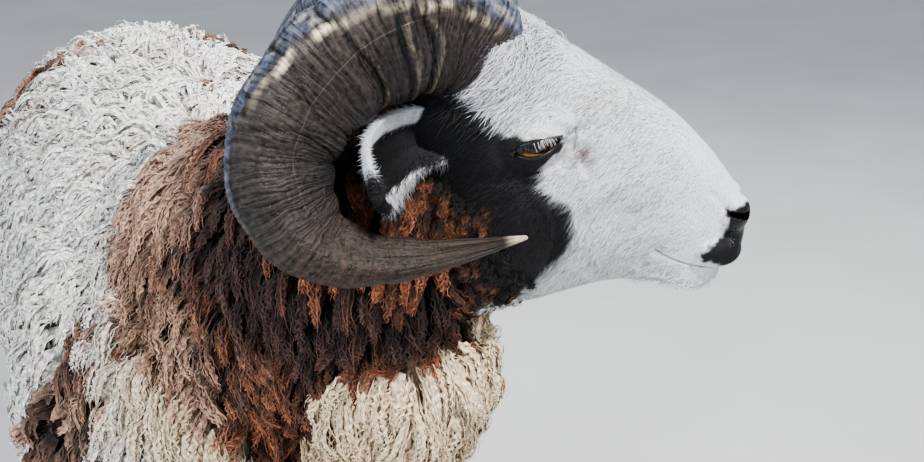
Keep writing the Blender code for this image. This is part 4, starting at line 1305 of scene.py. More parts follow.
HORN_ROWS, HORN_SIDES = 330, 60
HORN_MID = np.array((0.030, 0.023, 0.020))
HORN_DARK = np.array((0.011, 0.010, 0.010))
# Painted sky reflection on the horn's top side
HORN_SKY_REFLECTION = np.array((0.085, 0.100, 0.145))
HORN_CREAM = np.array((0.60, 0.51, 0.37))


# Cracks across the horn: how far along, width, depth
CRACKS = ((0.230, 0.0016, 1.0), (0.262, 0.0024, 1.0), (0.335, 0.0022, 1.0),
          (0.405, 0.0012, 0.7), (0.470, 0.0013, 0.7), (0.160, 0.0010, 0.5))


def solid_piece(name, hand, material, points, faces, colours, growth=None):
    """A closed piece given in the head's frame, with its colours and, for a horn, its map."""
    mesh = triangle_mesh(name, np.array(EYES) + points @ TURN.T, faces)
    set_colours(mesh, "Coat", colours)
    if growth is not None:
        mesh.uv_layers.new(name="Growth").data.foreach_set("uv", growth.ravel())
    bm = bmesh.new()
    bm.from_mesh(mesh)
    bmesh.ops.recalc_face_normals(bm, faces=bm.faces)
    bm.to_mesh(mesh)
    bm.free()
    made = link(bpy.data.objects.new(name, mesh))
    return dressed(made, f"{name}_dressed_{hand}", name, material, f"{name}_{hand}")


def horn_faces(run):
    """A horn's triangles, and each corner's place round it and along it."""
    faces, growth = [], []
    for i in range(HORN_ROWS - 1):
        for k in range(HORN_SIDES):
            j = (k + 1) % HORN_SIDES
            a, b = i * HORN_SIDES + k, i * HORN_SIDES + j
            c, d = a + HORN_SIDES, b + HORN_SIDES
            low, high = run[i], run[i + 1]
            one, two = k / HORN_SIDES, (k + 1) / HORN_SIDES
            faces += [(a, b, d), (a, d, c)]
            growth += [(one, low), (two, low), (two, high), (one, low), (two, high), (one, high)]
    first = HORN_ROWS * HORN_SIDES
    top_row = first - HORN_SIDES
    for k in range(HORN_SIDES):
        j = (k + 1) % HORN_SIDES
        faces += [(first, j, k), (first + 1, top_row + k, top_row + j)]
        growth += [(0.0, 0.0)] * 3 + [(0.0, run[-1])] * 3
    return np.array(faces), np.array(growth).reshape(-1, 3, 2)


def horn_colours(rough, t, angle, ridge_far, fine, chipped, cracks, lips, fade):
    """Dark horn with a bluish painted sky reflection on its top side, painted shade in its ring grooves
    and cracks, thin pale bands, and a worn cream crest.
    """
    colour = np.tile(HORN_MID, (HORN_ROWS * HORN_SIDES, 1))
    # top: the upward side near the ridge, towards the base, which gets a painted sky reflection
    top = smooth_step(-ridge_far, 0.05, 0.22) * (1 - smooth_step(-ridge_far, 1.9, 2.3))
    top = top * (1 - smooth_step(t, 0.50, 0.62))
    bands = np.sin(angle * 23 + 9 * (rough(0.025, 97) - 0.5))
    inner = smooth_step(-np.cos(angle + 0.3), 0.25, 0.8)
    worn = smooth_step(rough(0.014, 101), 0.30, 0.60)
    crest = np.exp(-(ridge_far / 0.042) ** 2) * (0.20 + 0.80 * chipped) * (1 - smooth_step(t, 0.42, 0.50))
    for other, weight in (
        (HORN_DARK, 0.62 * smooth_step(rough(0.030, 95), 0.35, 0.75)),
        # Painted shade in the growth rings' grooves
        (HORN_DARK, 0.55 * (1 - fine) * fade),
        # Painted sky reflection on the top side
        (HORN_SKY_REFLECTION, 0.85 * top * (0.4 + 0.6 * rough(0.010, 96))),
        (HORN_CREAM * 0.62, 0.40 * top * smooth_step(bands, 0.78, 0.95)
         * smooth_step(rough(0.016, 100), 0.30, 0.55)),
        (HORN_DARK, 0.75 * top * smooth_step(-bands, 0.70, 0.95)),
        (HORN_DARK, 0.6 * inner * fade),
        # Painted shade in the cracks
        (HORN_DARK * 0.5, 0.95 * cracks * fade),
        (HORN_CREAM * 0.45, 0.20 * lips * fade * worn),
        (HORN_MID * (0.85, 0.76, 0.70), smooth_step(t, 0.55, 0.70)),
        (HORN_CREAM, 0.85 * crest * smooth_step(t, 0.06, 0.18)),
        (HORN_CREAM * 0.9, smooth_step(t, 0.965, 0.99)),
    ):
        colour = mixed(colour, other, np.clip(np.broadcast_to(weight, fine.shape), 0, 1).ravel())
    return colour


def horn_object(side, hand, material):
    """A curled horn with growth rings, deep grooves and a worn pale ridge."""
    rows = smooth_rows(HORN, HORN_ROWS)
    places = rows[:, :3] * (1, side, 1)
    ahead = unit(np.gradient(places, axis=0))
    outward = places - np.array(HORN_HUB) * (1, side, 1)
    outward = unit(outward - ahead * (outward * ahead).sum(1, keepdims=True))
    across = unit(np.cross(ahead, outward)) * side
    run = np.concatenate(((0.0,), np.cumsum(np.linalg.norm(np.diff(places, axis=0), axis=1))))
    t = np.linspace(0, 1, HORN_ROWS)[:, None]
    angle = (2 * math.pi * np.arange(HORN_SIDES) / HORN_SIDES)[None]
    around = np.stack(np.broadcast_arrays(np.cos(angle) * 0.03, np.sin(angle) * 0.03, run[:, None]),
                      axis=2).reshape(-1, 3)

    def rough(size, seed):
        return noise(around + 1.0, size, seed + (side > 0)).reshape(HORN_ROWS, HORN_SIDES)

    # Rings, ridge and cracks
    fade = 1 - smooth_step(t, 0.80, 0.97)
    bend = 0.006 * (rough(0.030, 91) - 0.5) + 0.016 * (rough(0.062, 99) - 0.5)
    fine = np.abs(np.sin(math.pi * (run[:, None] + bend) / (0.0062 - 0.0030 * t))) ** 0.6
    broad = np.cos(2 * math.pi * 11 * (t + 0.6 * bend))
    crest_at = np.radians(np.clip(79 - 130 * (t - 0.25), 46, 88))
    ridge_far = np.angle(np.exp(1j * (angle - crest_at)))
    ridge = np.exp(-(ridge_far / 0.11) ** 2)
    chipped = smooth_step(rough(0.006, 92), 0.42, 0.60)
    cracks, lips = np.zeros_like(fine), np.zeros_like(fine)
    for at, width, deep in CRACKS:
        far = (t - at) * run[-1] + 0.036 * (rough(0.034, 93) - 0.5)
        cracks += deep * np.exp(-(far / width) ** 2)
        lips += deep**3 * np.exp(-((far + 1.8 * width) / (0.5 * width)) ** 2)
    cracks = np.clip(cracks * smooth_step(np.sin(angle - 0.3), -0.25, 0.25), 0, 1)

    # The section at each row
    corner = 1 + HORN_CORNERS * np.cos(3 * (angle - HORN_RIDGE_AT)) + 0.070 * ridge * fade
    corner = corner * (0.70 + 0.30 * smooth_step(t, 0.02, 0.09))
    reach = corner * (1 + 0.030 * broad * fade)
    depth = (0.0009 * (fine - 0.6) * fade + (0.0010 * lips - 0.0036 * cracks) * fade
             - 0.0016 * ridge * (1 - chipped) * fade + 0.0008 * (rough(0.012, 94) - 0.5) * fade)
    points = (places[:, None]
              + outward[:, None] * (np.cos(angle) * (rows[:, 3:4] * reach + depth))[..., None]
              + across[:, None] * (np.sin(angle) * (rows[:, 4:5] * reach + depth))[..., None])
    points = np.vstack((points.reshape(-1, 3), places[:1], places[-1:] + ahead[-1:] * 0.001))
    colour = horn_colours(rough, t, angle, ridge_far, fine, chipped, cracks, lips, fade)
    colour = np.vstack((colour, colour[:1], HORN_CREAM[None]))
    faces, growth = horn_faces(run)
    if side > 0:
        faces, growth = faces[:, ::-1], growth[:, ::-1]
    return solid_piece("horn", hand, material, points, faces, colour, growth)


def eye_object(side, hand, material):
    """An eyeball with a bulging cornea, an amber iris and a level slot of a pupil."""
    segments, rings = 96, 84
    gaze = Vector((0.16, side, -0.06)).normalized()
    ahead = Vector((1, 0, 0)) - gaze * gaze.x
    ahead.normalize()
    above = ahead.cross(gaze) * side
    polar = math.pi * (np.arange(1, rings) / rings) ** 1.6
    turn = 2 * math.pi * np.arange(segments) / segments
    theta, phi = (item.ravel() for item in np.meshgrid(polar, turn, indexing="ij"))
    theta, phi = (np.concatenate(((0.0,), item, (end,))) for item, end in ((theta, math.pi), (phi, 0.0)))
    radius = EYE_RADIUS * (1 + 0.030 * np.exp(-(theta / 0.50) ** 2))
    h, v, d = np.sin(theta) * np.cos(phi), np.sin(theta) * np.sin(phi), np.cos(theta)
    axes = np.array((tuple(ahead), tuple(above), tuple(gaze)))
    points = np.array((0, EYE_SIDE * side, 0)) + (np.stack((h, v, d), 1) * radius[:, None]) @ axes

    # White, iris with a dark rim and a lid's shadow, and pupil
    across, up = h * EYE_RADIUS, v * EYE_RADIUS
    from_middle = np.hypot(across, up)
    white = np.tile((0.16, 0.12, 0.10), (len(points), 1))
    streak = noise(np.stack((np.cos(phi) * 6, np.sin(phi) * 6, theta * 0.6), 1), 0.35, 7)
    amber = mixed(np.tile((0.85, 0.50, 0.16), (len(points), 1)), (0.40, 0.17, 0.04), streak)
    dark = 0.6 * smooth_step(from_middle, 0.0080, 0.0098) + 0.97 * smooth_step(up, -0.0040, -0.0028)
    amber = mixed(amber, (0.030, 0.014, 0.008), np.clip(dark, 0, 1))
    colours = mixed(white, amber, 1 - smooth_step(from_middle, 0.0096, 0.0104))
    slot = 1 - smooth_step(np.maximum(np.abs(across) / 0.0052, np.abs(up - 0.0008) / 0.0030), 0.85, 1.10)
    colours = mixed(colours, (0.003, 0.003, 0.004), slot)

    faces = []
    last = len(points) - 1
    for k in range(segments):
        j = (k + 1) % segments
        faces += [(0, 1 + k, 1 + j), (last, last - segments + j, last - segments + k)]
        for i in range(rings - 2):
            a, b = 1 + i * segments + k, 1 + i * segments + j
            faces += [(a, a + segments, b + segments), (a, b + segments, b)]
    return solid_piece("eye", hand, material, points, np.array(faces), colours)


def on_lids(x, z, side, lift):
    reach = math.sqrt(max(0.0, (EYE_RADIUS + LID_THICKNESS + lift) ** 2 - x * x - z * z))
    return Vector((x, (EYE_SIDE + reach) * side, z))


def lid_rims(material):
    """The dark moist edge of each eye's lids, thicker above."""
    bm = bmesh.new()
    for side, _ in SIDES:
        outline = almond(72)
        rows = []
        for i, (x, z) in enumerate(outline):
            before, after = outline[i - 1], outline[(i + 1) % len(outline)]
            place = on_lids(x, z, side, -0.0006)
            ahead = (on_lids(*after, side, 0) - on_lids(*before, side, 0)).normalized()
            out = Vector((x, (place.y - EYE_SIDE * side), z)).normalized()
            across = ahead.cross(out).normalized()
            above = math.sin(2 * math.pi * i / len(outline))
            half = 0.0013 + 0.0006 * max(0.0, above)
            rows.append([bm.verts.new(from_head(place + across * half * math.cos(a)
                                                  + out * half * math.sin(a)))
                         for a in (2 * math.pi * k / 10 for k in range(10))])
        for i, row in enumerate(rows):
            other = rows[(i + 1) % len(rows)]
            for k in range(10):
                j = (k + 1) % 10
                bm.faces.new((row[k], row[j], other[j], other[k]))
    return dressed(mesh_object("lid rims", bm), "lid_rims", "eye", material)


CLAW_HEIGHT, CLAW_WIDTH, CLAW_LENGTH, CLAW_SPLIT, CLAW_CHAMFER = 0.0357, 0.0245, 0.060, 0.0015, 0.0022


def claw_object(x, y, lean, name, node, material):
    """One claw: flat and slightly chamfered below, ringed, pointed at the toe, sloping back."""
    rings = []
    for height in (0.0, 0.0008, 0.0022, 0.005, 0.008, 0.011, 0.014, 0.017, 0.020, 0.023, 0.026, 0.029,
                   0.032, 0.0343, CLAW_HEIGHT):
        t = height / CLAW_HEIGHT
        share = 1.0 - 0.16 * t**1.6 - 0.05 * max(0.0, 1 - height / CLAW_CHAMFER) ** 2
        share *= 1 + 0.008 * math.cos(height * 1900)
        ring = []
        for i in range(44):
            angle = 2 * math.pi * i / 44
            along = math.cos(angle)
            width = math.sin(angle) * (1.0 - 0.45 * max(0.0, along) ** 1.5)
            inner = CLAW_SPLIT + CLAW_WIDTH / 2
            ring.append(BODY + Vector((x + 0.004 - 0.008 * t + along * share * CLAW_LENGTH / 2,
                                       y + lean * (inner + lean * width * share * CLAW_WIDTH / 2), 0)))
            ring[-1].z = height
        rings.append(ring)
    return dressed(loft(name, rings), name, "hoof", material, node)


# The camera, the floor and the light


FLOOR_RADIUS = 25.0
SKY_COLOUR, SKY_STRENGTH = (0.79, 0.89, 1.0), 0.60
# Lamps: name, place and target in the head's frame, size, watts, colour
LAMPS = (
    ("key", (1.0, -1.1, 2.0), (-0.05, 0, -0.05), 0.5, 104.0, (1.0, 0.98, 0.95)),
    ("fill", (-1.9, -2.2, 0.5), (-0.2, 0, -0.2), 2.0, 58.0, (0.94, 0.97, 1.0)),
    ("rim", (0.4, 1.9, 1.6), (0.0, 0, 0.0), 1.2, 55.0, (0.95, 0.97, 1.0)),
)


def stand_camera():
    lens = bpy.data.cameras.new("camera")
    lens.angle = CAMERA_WIDTH
    lens.clip_end = 200.0
    made = link(bpy.data.objects.new("camera", lens))
    look = TO_HEAD @ Vector((0, math.cos(CAMERA_PITCH), -math.sin(CAMERA_PITCH)))
    turn = look.to_track_quat("-Z", "Y").to_matrix().to_4x4()
    made.matrix_world = Matrix.Translation(from_head(CAMERA_PLACE)) @ turn
    bpy.context.scene.camera = made


def area_light(name, place, target, size, watts, colour):
    lamp = bpy.data.lights.new(name, "AREA")
    lamp.shape = "DISK"
    lamp.size = size
    lamp.energy = watts
    lamp.color = colour
    made = link(bpy.data.objects.new(name, lamp))
    place, target = from_head(place), from_head(target)
    turn = (target - place).to_track_quat("-Z", "Y").to_matrix().to_4x4()
    made.matrix_world = Matrix.Translation(place) @ turn


def studio():
    bm = bmesh.new()
    bmesh.ops.create_circle(bm, cap_ends=True, segments=96, radius=FLOOR_RADIUS)
    floor = mesh_object("floor", bm)
    floor.data.materials.append(plain_material("floor", ((0.56, 0.55, 0.53), (0.62, 0.61, 0.59)),
                                               3.0, 0.8, 0.02))
    for lamp in LAMPS:
        area_light(*lamp)
    world = bpy.data.worlds.new("studio")
    bpy.context.scene.world = world
    world.use_nodes = True
    sky = world.node_tree.nodes["Background"]
    sky.inputs["Color"].default_value = (*SKY_COLOUR, 1.0)
    sky.inputs["Strength"].default_value = SKY_STRENGTH
    bpy.context.scene.view_settings.view_transform = "AgX"
    bpy.context.scene.view_settings.look = "AgX - Medium High Contrast"


# Putting it together


def wool_lie(points):
    """Where the wool points: down and back on the trunk, hanging on the neck."""
    on_neck = smooth_step(in_body(points) @ COLLAR_NORMAL, 0.57, 0.64)
    body_lie = np.array((-0.50, 0.0, -0.86))
    neck_lie = np.array((-0.22, -0.05, -1.0))
    return body_lie + (neck_lie - body_lie) * on_neck[:, None]


BED_DROP = 0.34  # how far down the bed of the wool lies, as a share of the locks' rise
BROAD_WAVE = 0.016  # length of the slow waves of the locks' cores and bed
PALE_FROM, PALE_TO = 0.36, 0.56  # brightness over which wool turns from dark to pale and fluffy
BRIGHTEST = 0.96
# Tones on dark wool and how much they change on pale: at a strand's root, dark as painted shade deep in
# the fleece; at its tip, lighter, partly sun-bleaching and partly painted light; on its crests, a painted
# highlight on the crimp
ROOT_SHADE_TONES, TIP_TONES, CREST_HIGHLIGHT_TONES = (0.12, 0.86), (1.38, -0.30), (0.28, -0.20)
# Where wool grows: distance between locks, and the shape of a lock and of the strands in it
# core_shade_tone darkens each lock's core, and the bed below it further: painted shade inside the fleece
NECK_WOOL = {"spacing": 0.0096, "length": 0.048, "rise": 0.027, "rings": 21, "stray": 0.22,
             "lock_width": 0.0052, "wave": 0.0070, "crimp": 0.0014, "core_rings": 9, "core_shade_tone": 0.50,
             "ribbons": 10, "ribbon_rings": 17, "ribbon_width": 0.00085,
             "fuzz": 6, "fuzz_rings": 9, "fuzz_width": 0.00038}
CHEEK_CURLS = {"spacing": 0.0058, "length": 0.020, "rise": 0.011, "rings": 12, "stray": 0.35,
               "lock_width": 0.0028, "wave": 0.0050, "crimp": 0.0011, "core_rings": 6, "core_shade_tone": 0.60,
               "ribbons": 6, "ribbon_rings": 12, "ribbon_width": 0.00055,
               "fuzz": 8, "fuzz_rings": 7, "fuzz_width": 0.00028}
TRUNK_WOOL = {"spacing": 0.0122, "length": 0.038, "rise": 0.026, "rings": 12, "stray": 0.32,
              "lock_width": 0.0066, "wave": 0.0090, "crimp": 0.0012, "core_rings": 5, "core_shade_tone": 0.80,
              "ribbons": 6, "ribbon_rings": 8, "ribbon_width": 0.0012,
              "fuzz": 2, "fuzz_rings": 5, "fuzz_width": 0.0006}


def mixed_tone(tones, pale):
    return tones[0] + tones[1] * pale


def wool_parts(kind):
    """What a lock is made of: strands in it, sides, rings, width, spread, crimp, wave, flatness, tone;
    the cores' and the bed's lower tones are painted shade deep in the fleece.
    """
    half, rings, tone, crimp = (kind[word] for word in ("lock_width", "core_rings", "core_shade_tone", "crimp"))
    fine = (crimp, kind["wave"], 1.0)
    return {
        "bed": (3, 2, rings, half * 0.75, half * 1.3, crimp, BROAD_WAVE, 1.0, tone * 0.7),
        "cores": (1, 5, rings, half * 0.70, 0.0, 0.0012, BROAD_WAVE, 0.65, tone),
        "ribbons": (kind["ribbons"], 2, kind["ribbon_rings"], kind["ribbon_width"], half, *fine, 1.0),
        "fuzz": (kind["fuzz"], 2, kind["fuzz_rings"], kind["fuzz_width"], half * 1.35, *fine, 1.1),
    }


def grow_wool(name, slot, material, skin_mesh, tree, covers, wanted, seed, kind):
    """Locks that lie over each other: crimped ribbons on a core, over a bed of broad low ones."""
    rng = np.random.default_rng(seed)
    points, normals = scatter(skin_mesh, wanted, 3.0 / kind["spacing"] ** 2, rng)
    picks = even_picks(points, kind["spacing"], rng)
    points, normals = points[picks], normals[picks]
    count = len(points)
    lies = wool_lie(points) + rng.normal(0, kind["stray"], (count, 3))
    grown = 0.30 + 0.70 * smooth_step(-head_zone(points), -0.010, 0.050)
    lengths = kind["length"] * rng.uniform(0.75, 1.25, count) * (0.45 + 0.55 * grown)
    rises = kind["rise"] * rng.uniform(0.70, 1.05, count) * grown
    lines, outs = guide_lines(tree, covers, points, normals, lies, lengths, rises, kind["rings"])
    tones = rng.uniform(0.78, 1.15, count)
    pace = rng.uniform(0.80, 1.20, count)
    fluffy = smooth_step(full_coat(points).mean(1), PALE_FROM, PALE_TO)
    drop = BED_DROP * rises[:, None] * smooth_step(np.linspace(0, 1, kind["rings"]), 0.0, 0.4)
    low_lines = lines - outs * drop[..., None]
    for part, numbers in wool_parts(kind).items():
        per_lock, sides, rings, width, spread, crimp, wave, flat, tone = numbers
        broad = part in ("cores", "bed")
        roots = np.repeat(points, per_lock, axis=0)
        stray = 0.0030 if part == "fuzz" else 0.0
        paths, faced, coat_outs, at, crest = locks(low_lines if part == "bed" else lines, outs, per_lock,
                                                   spread, crimp, wave, pace, stray, rings, fluffy, rng)
        number = len(paths)
        t = np.linspace(0, 1, rings)[None]
        widths = width * rng.uniform(0.65, 1.25, number)[:, None]
        widths = widths * (0.55 + 0.45 * smooth_step(t, 0.0, 0.3))
        widths = widths * (1 - 0.70 * smooth_step(t, 0.50, 1.0))
        base = full_coat(roots)
        pale = smooth_step(base.mean(1), PALE_FROM, PALE_TO)
        uneven = np.repeat(tones, per_lock) * rng.uniform(0.72, 1.28, number)
        uneven = 1 + (uneven - 1) * (1 - 0.75 * pale)
        # Cores and bed take their darker tone as painted shade within the fleece, which fades out on pale
        # wool
        base = base * ((tone + (1.0 - tone) * pale) * uneven)[:, None]
        pale = pale[:, None]
        widths = widths * (1 + (-0.10 if part == "cores" else 0.60) * pale)
        # Painted shade and light along each strand: dark at the root, lighter at the tip, with a painted
        # highlight on the crimp's crests
        root_shade = mixed_tone(ROOT_SHADE_TONES, pale)
        shade = root_shade + (mixed_tone(TIP_TONES, pale) - root_shade) * smooth_step(at, 0.10, 0.85)
        shade = shade * (1 + crest * mixed_tone(CREST_HIGHLIGHT_TONES, pale))
        colours = np.minimum(base[:, None, :] * shade[..., None], BRIGHTEST)
        coat_pieces(f"{name}_{part}", slot, material[0 if broad else 1], roots, flat, sides, paths=paths,
                    widths=widths, outs=faced, colours=colours, coat_outs=coat_outs)


# Tufts to a square metre of the face and ears, of the legs, and of the crown and chin
SHORT_HAIRS, LEG_HAIRS, CROWN_HAIRS = 660000, 110000, 180000


def fur_lie(points, normals):
    """Where the short hair points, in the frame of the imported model."""
    head = in_head(points)
    turned = normals @ TURN
    side = np.sign(head[:, 1])
    flat = np.array((-0.80, 0.0, -0.42))
    lie = np.tile(flat, (len(points), 1))
    on_top = smooth_step(turned[:, 2], 0.35, 0.85)[:, None]
    over = np.stack((-np.ones(len(points)), 0.30 * side, np.zeros(len(points))), axis=1)
    lie = lie + (over - lie) * on_top
    brow = (smooth_step(-head[:, 0], -0.035, 0.0) * smooth_step(head[:, 2], 0.0, 0.020))[:, None]
    lie = lie + (np.array((-0.62, 0.0, -0.62)) + np.outer(side, (0, 0.35, 0)) - lie) * brow
    low = (smooth_step(-head[:, 2], 0.030, 0.070) * smooth_step(-head[:, 0], -0.09, -0.04))[:, None]
    lie = lie + (np.array((-0.60, 0.0, -0.78)) - lie) * low
    row = lie @ TURN.T
    on_leg = leg_zone(points)
    row[on_leg] = (-0.12, 0.0, -1.0)
    return row


def spikes(name, slot, material, points, normals, lies, lengths, widths, lifts, colours, flat=0.45):
    """Short tufts, each one pointed and leaning along the coat."""
    lies = unit(lies - normals * (lies * normals).sum(1, keepdims=True))
    tips = points + (lies * np.cos(lifts)[:, None] + normals * np.sin(lifts)[:, None]) * lengths[:, None]
    starts = points - normals * 0.0006
    paths = np.stack((starts, tips), axis=1)
    width = np.repeat(widths[:, None], 2, axis=1)
    outs = np.repeat(normals[:, None], 2, axis=1)
    shade = colours[:, None] * np.array((0.86, 1.06))[None, :, None]
    coat_pieces(name, slot, material, points, flat, paths=paths, widths=width, outs=outs, colours=shade)


def near_eye(head, reach):
    x0, x1 = EYE_REAR.x - reach, EYE_FRONT.x + reach
    middle, half = (x0 + x1) / 2, (x1 - x0) / 2
    return np.hypot((head[:, 0] - middle) / half, (head[:, 2] - 0.002) / (EYE_OPENING / 2 + reach))


def grow_face_hair(skin_mesh, material, rng):
    def wanted(points):
        head = in_head(points)
        weight = smooth_step(head_zone(points), -0.012, -0.004)
        weight = weight * (np.linalg.norm(head, axis=1) < HEAD_REACH)
        weight = weight * (1 - muzzle_bareness(points)) * (near_eye(head, 0.0025) > 1.0)
        return weight * (near_ear(points)[0] > EAR_NEAR)

    points, normals = scatter(skin_mesh, wanted, SHORT_HAIRS, rng)
    head = in_head(points)
    count = len(points)
    length = np.full(count, 0.0062)
    length = length + 0.0050 * smooth_step(-head[:, 0], -0.010, 0.040)
    length = length - 0.0034 * smooth_step(head[:, 0], 0.085, 0.135)
    length = length - 0.0036 * (1 - smooth_step(near_eye(head, 0.004), 1.2, 2.2))
    edge = inside_outline(head, CHEEK_PATCH, 0.010)
    length = length * (1 + 2.8 * edge * (1 - edge) * (head[:, 0] > 0.0)) * rng.uniform(0.7, 1.35, count)
    swirl = np.stack([noise(points, 0.016, 120 + k) - 0.5 for k in range(3)], axis=1)
    lies = fur_lie(points, normals) + rng.normal(0, 0.14, (count, 3)) + 0.55 * swirl
    streaks = np.stack((0.25 * (0.80 * head[:, 0] + 0.42 * head[:, 2]), 0.6 * head[:, 1],
                        0.42 * head[:, 0] - 0.80 * head[:, 2]), axis=1)
    # Darker streaks along the hair's lie: partly the hair's own tone, partly painted shade in its
    # partings
    streak_tone_and_shade = 0.46 + 0.70 * smooth_step(noise(streaks, 0.0016, 124), 0.15, 0.70)
    colours = full_coat(points) * (streak_tone_and_shade * rng.uniform(0.62, 1.14, count))[:, None]
    spikes("face_hair", "face", material, points, normals, lies, length,
           rng.uniform(0.00018, 0.00036, count), rng.uniform(0.04, 0.24, count), colours)


def grow_leg_hair(skin_mesh, material, rng):
    points, normals = scatter(skin_mesh, lambda p: leg_zone(p).astype(float), LEG_HAIRS, rng)
    count = len(points)
    lies = fur_lie(points, normals) + rng.normal(0, 0.15, (count, 3))
    length = 0.011 * rng.uniform(0.7, 1.3, count)
    length *= 1 - 0.45 * smooth_step(-in_body(points)[:, 2], -0.075, -0.040)
    colours = full_coat(points) * rng.uniform(0.78, 1.14, count)[:, None]
    spikes("leg_hair", "leg", material, points, normals, lies, length,
           rng.uniform(0.0005, 0.0010, count), rng.uniform(0.05, 0.24, count), colours)


def grow_ear_hair(skin_mesh, material, rng):
    def wanted(points):
        away, place, _ = near_ear(points)
        return (away < EAR_NEAR) * (place[:, 0] > 0.08)

    points, normals = scatter(skin_mesh, wanted, SHORT_HAIRS, rng)
    _, place, _ = near_ear(points)
    count = len(points)
    rim = smooth_step(np.abs(place[:, 1]), 0.45, 0.90)
    tipward = np.array(tuple(EAR_TIP - EAR_ROOT))
    side = np.sign(in_head(points)[:, 1])
    lies = np.stack((np.full(count, tipward[0]), tipward[1] * side, np.full(count, tipward[2])), axis=1)
    across = np.stack((np.full(count, EAR_ACROSS.x), EAR_ACROSS.y * side,
                       np.full(count, EAR_ACROSS.z)), axis=1)
    lies = unit(lies) + unit(across) * (np.sign(place[:, 1]) * rim * 0.5)[:, None]
    lies = (lies + rng.normal(0, 0.18, (count, 3))) @ TURN.T
    fringe = smooth_step(-place[:, 1], 0.60, 0.90) * smooth_step(place[:, 0], 0.20, 0.55)
    fringe = fringe * (1 - smooth_step(place[:, 0], 0.74, 0.84))
    length = (0.0042 + 0.0046 * rim + 0.0075 * fringe) * rng.uniform(0.7, 1.3, count)
    colours = full_coat(points) * rng.uniform(0.80, 1.12, count)[:, None]
    spikes("ear_hair", "ear", material, points, normals, lies, length,
           rng.uniform(0.0002, 0.0004, count), rng.uniform(0.05, 0.32, count), colours)


def grow_long_hair(skin_mesh, tree, covers, material, rng):
    """Longer locks over the forehead, along the horns' seats and round the jaw's edge."""
    def wanted(points):
        head = in_head(points)
        crown = blob(head, (-0.030, 0.060), (0.046, 0.042), 0.3)
        chin = blob(head, (0.108, -0.122), (0.034, 0.012), 0.4)
        return np.maximum(crown, 0.5 * chin) * (near_ear(points)[0] > 0.006)

    points, normals = scatter(skin_mesh, wanted, CROWN_HAIRS, rng)
    count = len(points)
    lies = fur_lie(points, normals) + rng.normal(0, 0.22, (count, 3))
    lengths = rng.uniform(0.008, 0.017, count) * np.where(in_head(points)[:, 2] < -0.05, 0.60, 1.0)
    lines, outs = guide_lines(tree, covers, points, normals, lies, lengths,
                              rng.uniform(0.0015, 0.0045, count), 6)
    t = np.linspace(0, 1, 6)[None]
    widths = rng.uniform(0.0003, 0.0006, count)[:, None] * (1 - 0.7 * t)
    colours = full_coat(points) * rng.uniform(0.85, 1.12, count)[:, None]
    # Darker towards the roots: painted shade deep in the hair
    colours = colours[:, None] * (0.85 + 0.2 * t)[..., None]
    coat_pieces("crown_hair", "face", material, points, 0.5, paths=lines, widths=widths, outs=outs,
                colours=colours)


def grow_lashes(material, rng):
    """Curved lashes along the upper lid, pale ahead and black behind."""
    roots, paths, outs, colours = [], [], [], []
    for side, _ in SIDES:
        outline = almond(200)
        for _ in range(90):
            i = int(rng.uniform(8, 92))
            x, z = outline[i]
            root = on_lids(x, z + 0.0004, side, 0.0004)
            ahead = (x - 0.003) / 0.018
            lean = Vector((0.10 + 0.45 * ahead + rng.normal(0, 0.10), 0.50 * side, -0.80))
            lean.normalize()
            length = rng.uniform(0.0055, 0.0100)
            line = [root + lean * length * t + Vector((0, 0.0012 * side, 0.0014)) * t * t
                    for t in np.linspace(0, 1, 6)]
            roots.append(from_head(root))
            paths.append([from_head(p) for p in line])
            outs.append([TO_HEAD @ Vector((0, 0, 1))] * 6)
            pale = x > 0.004 + rng.normal(0, 0.003)
            colours.append([(0.62, 0.61, 0.60) if pale else (0.01, 0.01, 0.01)] * 6)
    t = np.linspace(0, 1, 6)[None]
    widths = np.full((len(paths), 1), 0.00034) * (1 - 0.70 * t)
    coat_pieces("lashes", "face", material, np.array(roots), paths=np.array(paths), widths=widths,
                outs=np.array(outs), colours=np.array(colours))


def clear_of_ear(points, gap):
    """Off the ear's shell, and out of the space that it opens on to."""
    head = in_head(points)
    by_ear = (head[:, 0] > -0.105) & (np.abs(head[:, 1]) > 0.03)
    by_ear &= (head[:, 2] > -0.020) & (head[:, 2] < 0.045)
    return (near_ear(points)[0] > gap) & ~by_ear


def neck_wool_zone(points):
    wool_bearing = smooth_step(-head_zone(points), 0.004, 0.010)
    on_neck = in_body(points) @ COLLAR_NORMAL > NECK_FROM
    return wool_bearing * ~leg_zone(points) * clear_of_ear(points, 0.008) * on_neck


def curl_zone(points):
    return curly_cheek(points) * (head_zone(points) > -0.012) * clear_of_ear(points, 0.005)


def trunk_wool_zone(points):
    return (in_body(points) @ COLLAR_NORMAL <= NECK_FROM) * ~leg_zone(points) * 1.0


stand_camera()
studio()

wool_core = strand_material("wool core", 0.95, 0.08, 14.0, 0.0080, 0.40, 1.0)
wool = strand_material("wool", 0.9, 0.10, 3.0, 0.0080, 0.30, 0.8, 0.5)
fur = strand_material("short hair", 0.6, 0.10, 5.0, 0.030, 0.10, 0.2)
horn_look, eye_look = horn_material(), eye_material()
dark_lid = plain_material("lid", ((0.006, 0.005, 0.005), (0.020, 0.016, 0.015)), 500.0, 0.35, 0.4)
claw_look = plain_material("claw", ((0.020, 0.017, 0.015), (0.085, 0.070, 0.058)), 60.0, 0.45, 0.4,
                           (1.0, 1.0, 7.0))

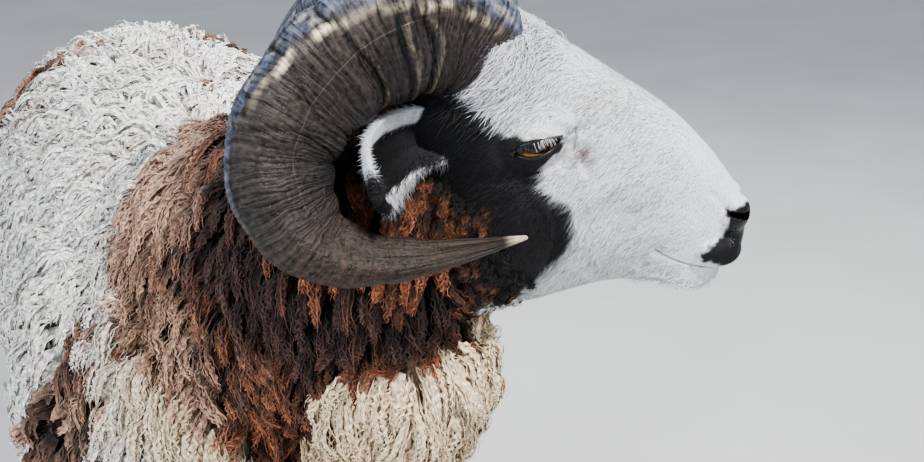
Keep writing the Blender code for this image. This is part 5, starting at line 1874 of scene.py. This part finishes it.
horns = [horn_object(side, hand, horn_look) for side, hand in SIDES]
for side, hand in SIDES:
    eye_object(side, hand, eye_look)
lid_rims(dark_lid)
for word, rows in (("fore", FORELEG), ("hind", HINDLEG)):
    for side, hand in SIDES:
        for lean, letter in ((-1, "a"), (1, "b")):
            node = f"hoof_{word}_{hand}_{letter}"
            claw_object(rows[-1][0], rows[-1][1] * side, lean, "claw_" + node[5:], node, claw_look)

cover_bm = bmesh.new()
for horn in horns:
    cover_bm.from_mesh(horn.data)
for side, _ in SIDES:
    leaf = ear_form(side)
    cover_bm.from_mesh(leaf.data)
    remove(leaf)
covers = BVHTree.FromBMesh(cover_bm)
cover_bm.free()

skin = make_skin()
skin_points = points_of(skin.data)
skin_colours = full_coat(skin_points) * 0.92
# Painted shade: the skin under dark wool is darkened far below the coat's colour, as the shade deep in
# the fleece
shaded_under_wool = smooth_step(-head_zone(skin_points), 0.002, 0.020) * ~leg_zone(skin_points)
brightness = smooth_step(skin_colours.mean(1), 0.35, 0.60)
skin_colours *= (1 - shaded_under_wool * (0.90 - 0.90 * brightness))[:, None]
set_colours(skin.data, "Coat", skin_colours)
set_colours(skin.data, "Bare", np.repeat(muzzle_bareness(skin_points)[:, None], 3, axis=1))
dressed(skin, "skin", "face", skin_material(), "head", "neck", "torso", "tail", "ear_right", "ear_left",
        "foreleg_right", "foreleg_left", "hindleg_right", "hindleg_left")
skin_tree = mesh_tree(skin.data)

for name, slot, zone, seed, kind in (
    ("neck_wool", "fleece_brown", neck_wool_zone, 5, NECK_WOOL),
    ("cheek_curls", "face", curl_zone, 4, CHEEK_CURLS),
    ("trunk_wool", "fleece_white", trunk_wool_zone, 6, TRUNK_WOOL),
):
    grow_wool(name, slot, (wool_core, wool), skin.data, skin_tree, covers, zone, seed, kind)
grow_face_hair(skin.data, fur, np.random.default_rng(7))
grow_leg_hair(skin.data, fur, np.random.default_rng(8))
grow_ear_hair(skin.data, fur, np.random.default_rng(9))
grow_long_hair(skin.data, skin_tree, covers, fur, np.random.default_rng(10))
grow_lashes(fur, np.random.default_rng(11))
